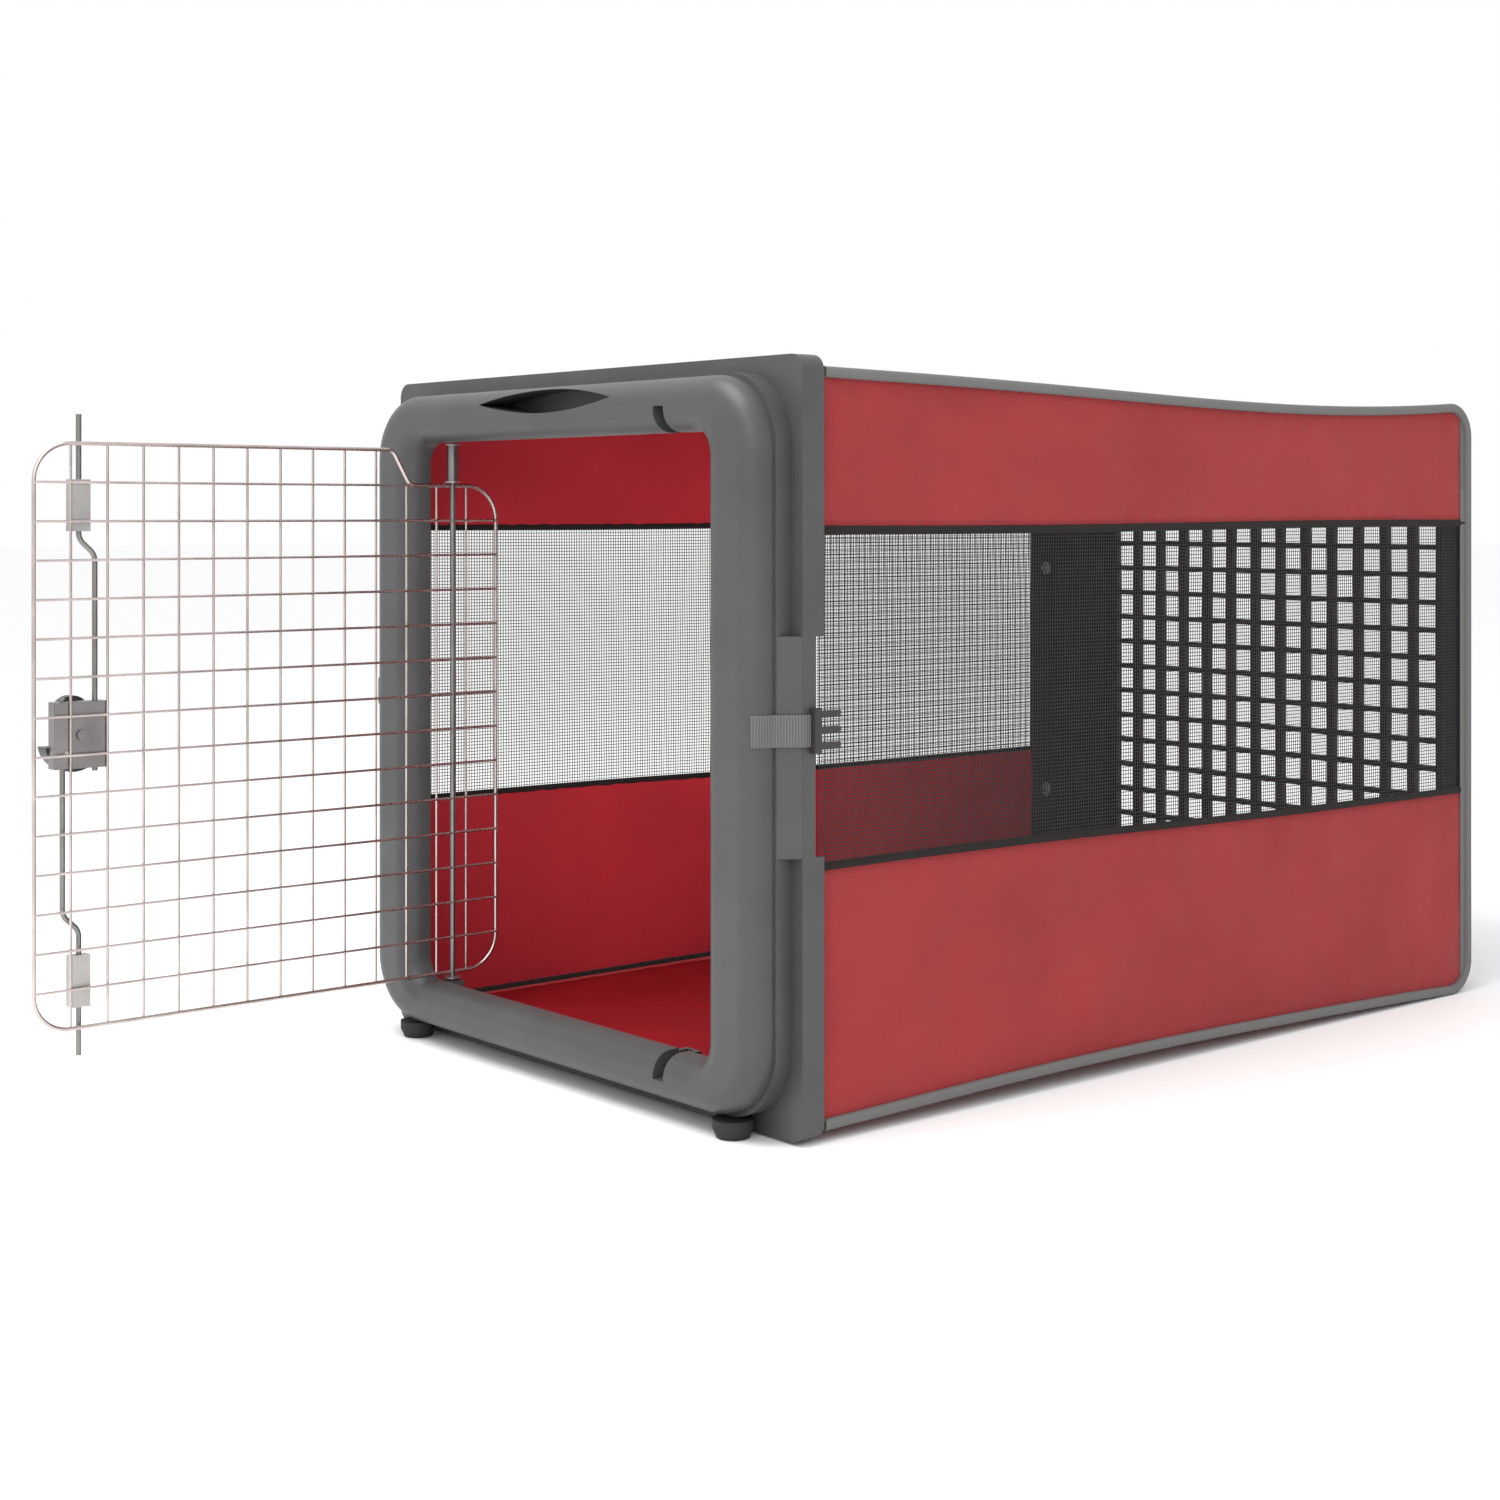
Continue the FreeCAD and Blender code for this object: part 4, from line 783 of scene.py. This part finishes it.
    def loop_path(self, sign: int) -> np.ndarray:
        """Seam round the rear of a side wall: over the top, down the rounded corners and back underneath."""
        radius = self.corner
        centre_y = self.back - radius - 0.002
        y = self.stations((self.split, centre_y), 0.0015)
        angle = np.linspace(0.0, math.pi / 2, 12)
        high = self.top_edge(np.array([centre_y]))[0]
        low = self.low_edge(np.array([centre_y]))[0]
        down = np.linspace(high - radius, low + radius, 30)[1:-1]
        depth = [y, centre_y + radius * np.sin(angle[1:]), np.full_like(down, centre_y + radius),
                 centre_y + radius * np.cos(angle), y[-2::-1]]
        height = [self.top_edge(y), high - radius + radius * np.cos(angle[1:]), down,
                  low + radius - radius * np.sin(angle), self.low_edge(y[-2::-1])]
        y, z = np.concatenate(depth), np.concatenate(height)
        return np.stack([np.full_like(y, sign * (self.half + SEAM_OUTSET)), y, z], axis=-1)

    def soft(self, piece: bpy.types.Object, slot: str, *nodes: str) -> bpy.types.Object:
        """Fasten a fabric piece to the body and give it a mesh of its own."""
        fasten(piece, BODY, slot, *nodes)
        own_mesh(piece)
        return piece

    def hem(self, piece: bpy.types.Object, slot: str, *_: str) -> bpy.types.Object:
        """Fasten the stretch of fabric that is screwed round the rear shell, so it travels with that."""
        return fasten(piece, REAR, slot)

    def seam(self, sign: int, y: np.ndarray, z: np.ndarray) -> np.ndarray:
        """Line on a side wall, a hair inside its surface."""
        return np.stack([self.wall(sign, y, z) - sign * 0.0004, y, z], axis=-1)

    def build_stretch(self, sign: int, side: str, tail: str, reach: tuple[float, float], attach: object) -> None:
        """Build one stretch of a side wall: two padded bands, netting, two pipings and their stitches.

        Args:
            sign: 1 for the right side and -1 for the left.
            side: Name of the side.
            tail: Added to the name of each piece.
            reach: Where the stretch starts and ends along the depth.
            attach: Method that fastens a piece.
        """
        def low_seam(y: np.ndarray) -> np.ndarray:
            return self.low_edge(y) + self.turn_down(y) * 0.9

        def high_seam(y: np.ndarray) -> np.ndarray:
            return self.top_edge(y) - self.turn_down(y)

        def window_low(y: np.ndarray) -> np.ndarray:
            return self.window_edge(y, True)

        def window_high(y: np.ndarray) -> np.ndarray:
            return self.window_edge(y, False)

        seed = 50 if sign > 0 else 80
        lower = self.side_cover(sign, f"{side}_lower_cover{tail}", low_seam, window_low, 60, seed, reach)
        upper = self.side_cover(sign, f"{side}_upper_cover{tail}", window_high, high_seam, 40, seed + 5, reach)
        net = self.net(sign, f"{side}_window_net{tail}", reach)
        y = self.stations((max(reach[0], self.front + 0.018), min(reach[1], self.back - 0.004)), 0.0058)
        up = np.array([float(sign), 0.0, 0.0])
        pipings, rows = [], []
        for key, edge, shift in (("low", window_low, -0.0052), ("high", window_high, 0.0052)):
            path = self.seam(sign, y, edge(y))
            outline = oval(self.piping, 0.0052, 14, 2.6)
            pipings.append(self.trim(f"{side}_piping_{key}{tail}", path, outline, up, BLACK_PIPING))
            line = path + np.array([sign * 0.0018, 0.0, shift])
            rows.append(self.stitch_row(f"{side}_stitches_{key}{tail}", line, STITCH_RED, thick=0.0006))
        attach(lower, "red_fabric", f"{side}_lower_panel")
        attach(upper, "red_fabric", f"{side}_upper_panel")
        attach(net, "black_mesh", f"{side}_mesh")
        attach(pipings[0], "window_piping", f"{side}_window_tape")
        attach(pipings[1], "window_piping")
        for row in rows:
            attach(row, "red_fabric")

    def build_side(self, sign: int, side: str) -> None:
        """Build one side wall: its edge tapes, the stretch ahead of the rear shell and the stretch on the rear shell.
        """
        up = np.array([float(sign), 0.0, 0.0])
        outline = oval(0.0086, self.binding, 18, 2.8)
        runs = [self.trim(f"{side}_edge_tape_{key}", self.run_path(sign, key == "high"), outline, up, GREY_BINDING)
                for key in ("low", "high")]
        loop = self.trim(f"{side}_edge_tape_rear", self.loop_path(sign), outline, up, GREY_BINDING)
        self.soft(runs[0], "grey_binding", f"{side}_edge_binding")
        self.soft(runs[1], "grey_binding")
        self.hem(loop, "grey_binding")
        self.build_stretch(sign, side, "", (self.front, self.split), self.soft)
        self.build_stretch(sign, side, "_hem", (self.split, self.back - 0.0008), self.hem)

    def build(self) -> None:
        """Build the whole fabric tube, its floor tubes and its mat."""
        self.build_side(1, "right")
        self.build_side(-1, "left")
        stretches = (("", (self.front, self.split), self.soft), ("_hem", (self.split, self.back - 0.0008), self.hem))
        for tail, reach, attach in stretches:
            for name, top in (("roof", True), ("floor", False)):
                piece = self.level_cover(f"{name}_cover{tail}", top, RED_TOP, reach)
                attach(piece, "red_fabric", f"{name}_panel")
        self.build_tubes()
        self.build_mat()

    def build_tubes(self) -> None:
        """Gathered sleeves over the two floor wires: circles whose radius ripples along the length."""
        low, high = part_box("floor_edge_tubes")
        radius = (high.z - low.z) / 2
        y = np.linspace(low.y, high.y, 420)
        draw = np.random.default_rng(5)
        ripple = 0.045 * np.sin(2.0 * math.pi * y / 0.0125) + 0.03 * np.sin(2.0 * math.pi * y / 0.031 + 1.0)
        ripple += 0.02 * draw.standard_normal(len(y))
        girth = radius * (0.95 + ripple)
        profile = oval(2.0, 2.0, TUBE_SIDES)[None] * girth[:, None, None]
        tubes = []
        for sign in (-1, 1):
            path = np.stack([np.full_like(y, sign * (high.x - radius)), y, np.full_like(y, low.z + radius)], axis=-1)
            tubes.append(sweep(path, profile, np.array([0.0, 0.0, 1.0])))
        piece = make_piece("floor_sleeves", *merge(tubes))
        across = np.tile(np.linspace(0, 0.03, TUBE_SIDES), 2 * len(y))
        add_length_uv(piece, np.tile(np.repeat(y, TUBE_SIDES), 2), across)
        self.soft(DRESS.dress(piece, BLACK_PIPING), "tube_sleeve", "floor_edge_tubes")

    def build_mat(self) -> None:
        """Loose padded mat: a crowned pad, pulled in along its piped edge, with soft dents."""
        low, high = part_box("floor_mat")
        half_x, middle_y, half_y = high.x - 0.003, (low.y + high.y) / 2, (high.y - low.y) / 2 - 0.003
        s = np.sin(np.linspace(-math.pi / 2, math.pi / 2, 96))[:, None]
        t = np.sin(np.linspace(-math.pi / 2, math.pi / 2, 72))[None, :]
        y, x = s * half_y + 0.0 * t, t * half_x + 0.0 * s
        pull = 1.0 - 0.006 * (np.abs(s) ** 8 + np.abs(t) ** 8 - 1.6 * np.abs(s * t) ** 12)
        y, x = y * pull + middle_y, x * pull
        edge = np.minimum(half_x - np.abs(x), half_y - np.abs(y - middle_y))
        crown = smoothstep(edge / 0.035)
        dents = ripples(x, y, 71, 18, 0.3, 0.05)
        gather = self.puckers(y, half_x - np.abs(x), 73) + self.puckers(x, half_y - np.abs(y - middle_y), 74)
        tall = high.z - low.z
        top = low.z + tall * (0.5 + 0.36 * crown + 0.11 * dents * crown) + 0.0009 * gather
        bottom = low.z + tall * (0.42 - 0.36 * crown)
        pad = make_piece("mat_pad", *slab(np.stack([x, y, top], axis=-1), np.stack([x, y, bottom], axis=-1)))
        DRESS.dress(pad, RED_MAT)
        rim = oval(2 * half_x * 0.998, 2 * half_y * 0.998, 400, 24.0)
        path = np.stack([rim[:, 0], rim[:, 1] + middle_y, np.full(len(rim), low.z + tall * 0.46)], axis=-1)
        keep = np.concatenate([[True], np.linalg.norm(np.diff(path, axis=0), axis=1) > 0.0008])
        path = path[keep]
        points, faces = sweep(path, oval(0.0045, 0.0045, 10), np.array([0.0, 0.0, 1.0]), closed=True)
        edge_cord = make_piece("mat_piping", points, faces)
        step = np.concatenate([[0.0], np.cumsum(np.linalg.norm(np.diff(path, axis=0), axis=1))])
        add_length_uv(edge_cord, np.repeat(step, 10), np.tile(np.linspace(0, 0.014, 10), len(path)))
        DRESS.dress(edge_cord, RED_PIPING)
        self.soft(pad, "red_mat", "floor_mat")
        self.soft(edge_cord, "red_mat")


@dataclass
class RearTrim:
    """Binding across the roof and floor at the rear end of the fabric."""

    wide: float = 0.0115
    thick: float = 0.0022

    def build(self, fabric: FabricBody) -> None:
        """Sweep a flat tape round the rear rim: a rectangle with rounded corners in the upright plane."""
        low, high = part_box("rear_binding")
        half, radius = fabric.half + 0.0008, 0.016
        top = high.z - 0.0026
        bottom = 0.0016
        corners = [(half - radius, top - radius, 0.0), (-(half - radius), top - radius, 90.0),
                   (-(half - radius), bottom + radius, 180.0), (half - radius, bottom + radius, 270.0)]
        arcs = []
        for x, z, start in corners:
            angle = np.radians(np.linspace(start, start + 90.0, 10))
            arcs.append(np.stack([x + radius * np.cos(angle), np.full(10, (low.y + high.y) / 2 - 0.001),
                                  z + radius * np.sin(angle)], axis=-1))
        path = np.concatenate(arcs)
        path = np.concatenate([np.linspace(a, b, 8, endpoint=False) if np.linalg.norm(b - a) > 0.05 else a[None]
                               for a, b in zip(path, np.roll(path, -1, 0))])
        points, faces = sweep(path, oval(self.thick, self.wide, 14, 4.0), np.array([0.0, 1.0, 0.0]), closed=True)
        piece = make_piece("rear_edge_tape", points, faces)
        step = np.concatenate([[0.0], np.cumsum(np.linalg.norm(np.diff(path, axis=0), axis=1))])
        add_length_uv(piece, np.repeat(step, 14), np.tile(np.linspace(0, 0.026, 14), len(path)))
        fasten(DRESS.dress(piece, GREY_BINDING), REAR, "grey_binding", "rear_binding")


@dataclass
class Strap:
    """Webbing strap that is sewn beside the doorway and carries a buckle."""

    wide: float = 0.0245
    thick: float = 0.0015

    def build(self, sign: int, side: str) -> None:
        """Sweep a flat oval along a smoothed path that hugs the shell and climbs its flange."""
        low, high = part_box(f"strap_{side}")
        middle = (low.z + high.z) / 2
        front, back = low.y, high.y
        knots = np.array([(0.2652, front + 0.0012), (0.2700, front + 0.0072), (0.2717, front + 0.014),
                          (0.2724, front + 0.0185), (0.2748, front + 0.0215), (0.2800, front + 0.0285),
                          (0.2852, front + 0.0350), (0.2864, front + 0.0380), (0.2865, back)])
        t = np.linspace(0.0, len(knots) - 1.0, 70)
        line = np.stack([np.interp(t, np.arange(len(knots)), knots[:, k]) for k in range(2)], axis=-1)
        soft = np.stack([np.convolve(np.pad(line[:, k], 3, mode="edge"), np.ones(7) / 7, "valid") for k in range(2)],
                        axis=-1)
        path = np.stack([sign * soft[:, 0], soft[:, 1], np.full(len(soft), middle)], axis=-1)
        outward = np.array([0.0, 0.0, 1.0])
        points, faces = sweep(path, oval(self.thick, self.wide, 16, 5.0), outward)
        piece = make_piece(f"{side}_webbing", points, faces)
        step = np.concatenate([[0.0], np.cumsum(np.linalg.norm(np.diff(path, axis=0), axis=1))])
        add_length_uv(piece, np.repeat(step, 16), np.tile(np.linspace(0, 0.05, 16), len(path)))
        DRESS.dress(piece, GREY_WEBBING)
        fasten(piece, f"strap_{side}", "webbing", f"strap_{side}")


class SolidParts:
    """Finishes of the parts that keep their solid shapes."""

    FINISHES = {
        GREY_SHELL: ("front_shell", "fabric_clamp_ring"),
        GREY_FITTING: ("pivot_hooks", "bolt_catches"),
        ZINC: ("bolt_guides", "pivot_washers", "rear_screws", "rear_washers", "latch_rivet"),
        BLACK_FITTING: ("catch_fingers", "buckle_left", "buckle_right", "thumb_rest", "latch_finger_tab",
                        "upper_bolt_rack", "lower_bolt_rack", "latch_pinion"),
        BLACK_SHELL: ("rear_shell", "rear_grille"),
        FOOT_RUBBER: ("front_feet",),
        BRIGHT_WIRE: ("door_edge_wire", "door_upright_wires", "door_level_wires"),
        DULL_STEEL: ("door_pivot_rod", "upper_bolt_rod", "lower_bolt_rod", "latch_spring", "pivot_sleeve"),
        PRESSED_STEEL: ("latch_plate", "latch_case", "latch_axle_screw"),
    }
    SOFT_EDGES = {"buckle_left": 0.0009, "buckle_right": 0.0009, "latch_finger_tab": 0.0009, "thumb_rest": 0.0014,
                  "latch_case": 0.0009, "bolt_guides": 0.0008, "pivot_hooks": 0.0009, "bolt_catches": 0.0008,
                  "rear_grille": 0.0007, "latch_plate": 0.0003, "fabric_clamp_ring": 0.001}

    def build(self) -> None:
        """Dress every solid and ease the sharp edges of those listed in SOFT_EDGES."""
        for finish, names in self.FINISHES.items():
            for name in names:
                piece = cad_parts[name]
                DRESS.dress(piece, finish)
                width = self.SOFT_EDGES.get(name)
                if width:
                    bevel = piece.modifiers.new("eased_edges", "BEVEL")
                    bevel.width = width
                    bevel.segments = 2
                    bevel.limit_method = "ANGLE"
                    bevel.angle_limit = math.radians(40.0)
                LOG.info("%s dressed in %s", name, finish.name)


@dataclass
class Studio:
    """Pale floor, soft lights and the camera."""

    eye: tuple[float, float, float] = (1.586, -1.4189, 0.4767)
    azimuth: float = 49.9
    lens: float = 55.5
    drop: float = -0.158
    key_power: float = 23.0
    fill_power: float = 2.5
    top_power: float = 48.0
    cabin_power: float = 1.5
    sky: float = 1.0

    def build(self) -> None:
        """Set up the stage."""
        reach, under = 30.0, -0.0005
        corners = ((-1.0, -1.0), (1.0, -1.0), (1.0, 1.0), (-1.0, 1.0))
        points = np.array([(x * reach, y * reach, under) for x, y in corners])
        mesh = bpy.data.meshes.new("stage_floor")
        mesh.from_pydata(points.tolist(), [], [(0, 1, 2, 3)])
        ground = bpy.data.objects.new("stage_floor", mesh)
        bpy.context.scene.collection.objects.link(ground)
        nodes = Nodes("stage_white")
        nodes.shader.inputs["Base Color"].default_value = (0.97, 0.97, 0.97, 1.0)
        nodes.shader.inputs["Roughness"].default_value = 0.9
        nodes.shader.inputs["Specular IOR Level"].default_value = 0.1
        mesh.materials.append(nodes.material)
        world = bpy.data.worlds.new("studio")
        world.use_nodes = True
        world.node_tree.nodes["Background"].inputs["Color"].default_value = (1.0, 1.0, 1.0, 1.0)
        world.node_tree.nodes["Background"].inputs["Strength"].default_value = self.sky
        bpy.context.scene.world = world
        self.light("key_light", (1.9, -2.3, 1.9), (0.0, -0.2, 0.3), 2.0, self.key_power)
        self.light("side_light", (2.6, -0.9, 1.5), (0.2, 0.0, 0.3), 1.6, self.fill_power)
        self.light("top_light", (0.0, -1.1, 2.4), (0.0, -0.4, 0.3), 1.6, self.top_power)
        self.light("cabin_light", (0.2, 0.1, 0.36), (-0.28, 0.02, 0.28), 0.34, self.cabin_power)
        self.camera()

    def light(self, name: str, place: tuple[float, float, float], target: tuple[float, float, float], side: float,
              power: float) -> None:
        """Add a square soft light that faces a target."""
        data = bpy.data.lights.new(name, "AREA")
        data.size = side
        data.energy = power
        lamp = bpy.data.objects.new(name, data)
        lamp.visible_camera = False
        lamp.visible_glossy = name != "cabin_light"
        lamp.location = place
        lamp.rotation_euler = (Vector(target) - Vector(place)).to_track_quat("-Z", "Y").to_euler()
        bpy.context.scene.collection.objects.link(lamp)

    def camera(self) -> None:
        """Add the camera, level, at the viewing point."""
        data = bpy.data.cameras.new("view_camera")
        data.lens = self.lens
        data.sensor_width = 36.0
        data.shift_y = self.drop
        data.clip_end = 200.0
        camera = bpy.data.objects.new("view_camera", data)
        camera.location = self.eye
        camera.rotation_euler = (math.pi / 2, 0.0, math.radians(self.azimuth))
        bpy.context.scene.collection.objects.link(camera)
        bpy.context.scene.camera = camera


def main() -> None:
    """Build every part of the looks in order."""
    logging.basicConfig(level=logging.INFO)
    bpy.context.scene.view_settings.view_transform = "Standard"
    SolidParts().build()
    fabric = FabricBody()
    fabric.build()
    RearTrim().build(fabric)
    Strap().build(1, "right")
    Strap().build(-1, "left")
    Studio().build()
    bpy.context.view_layer.update()


if __name__ == "__main__":
    main()
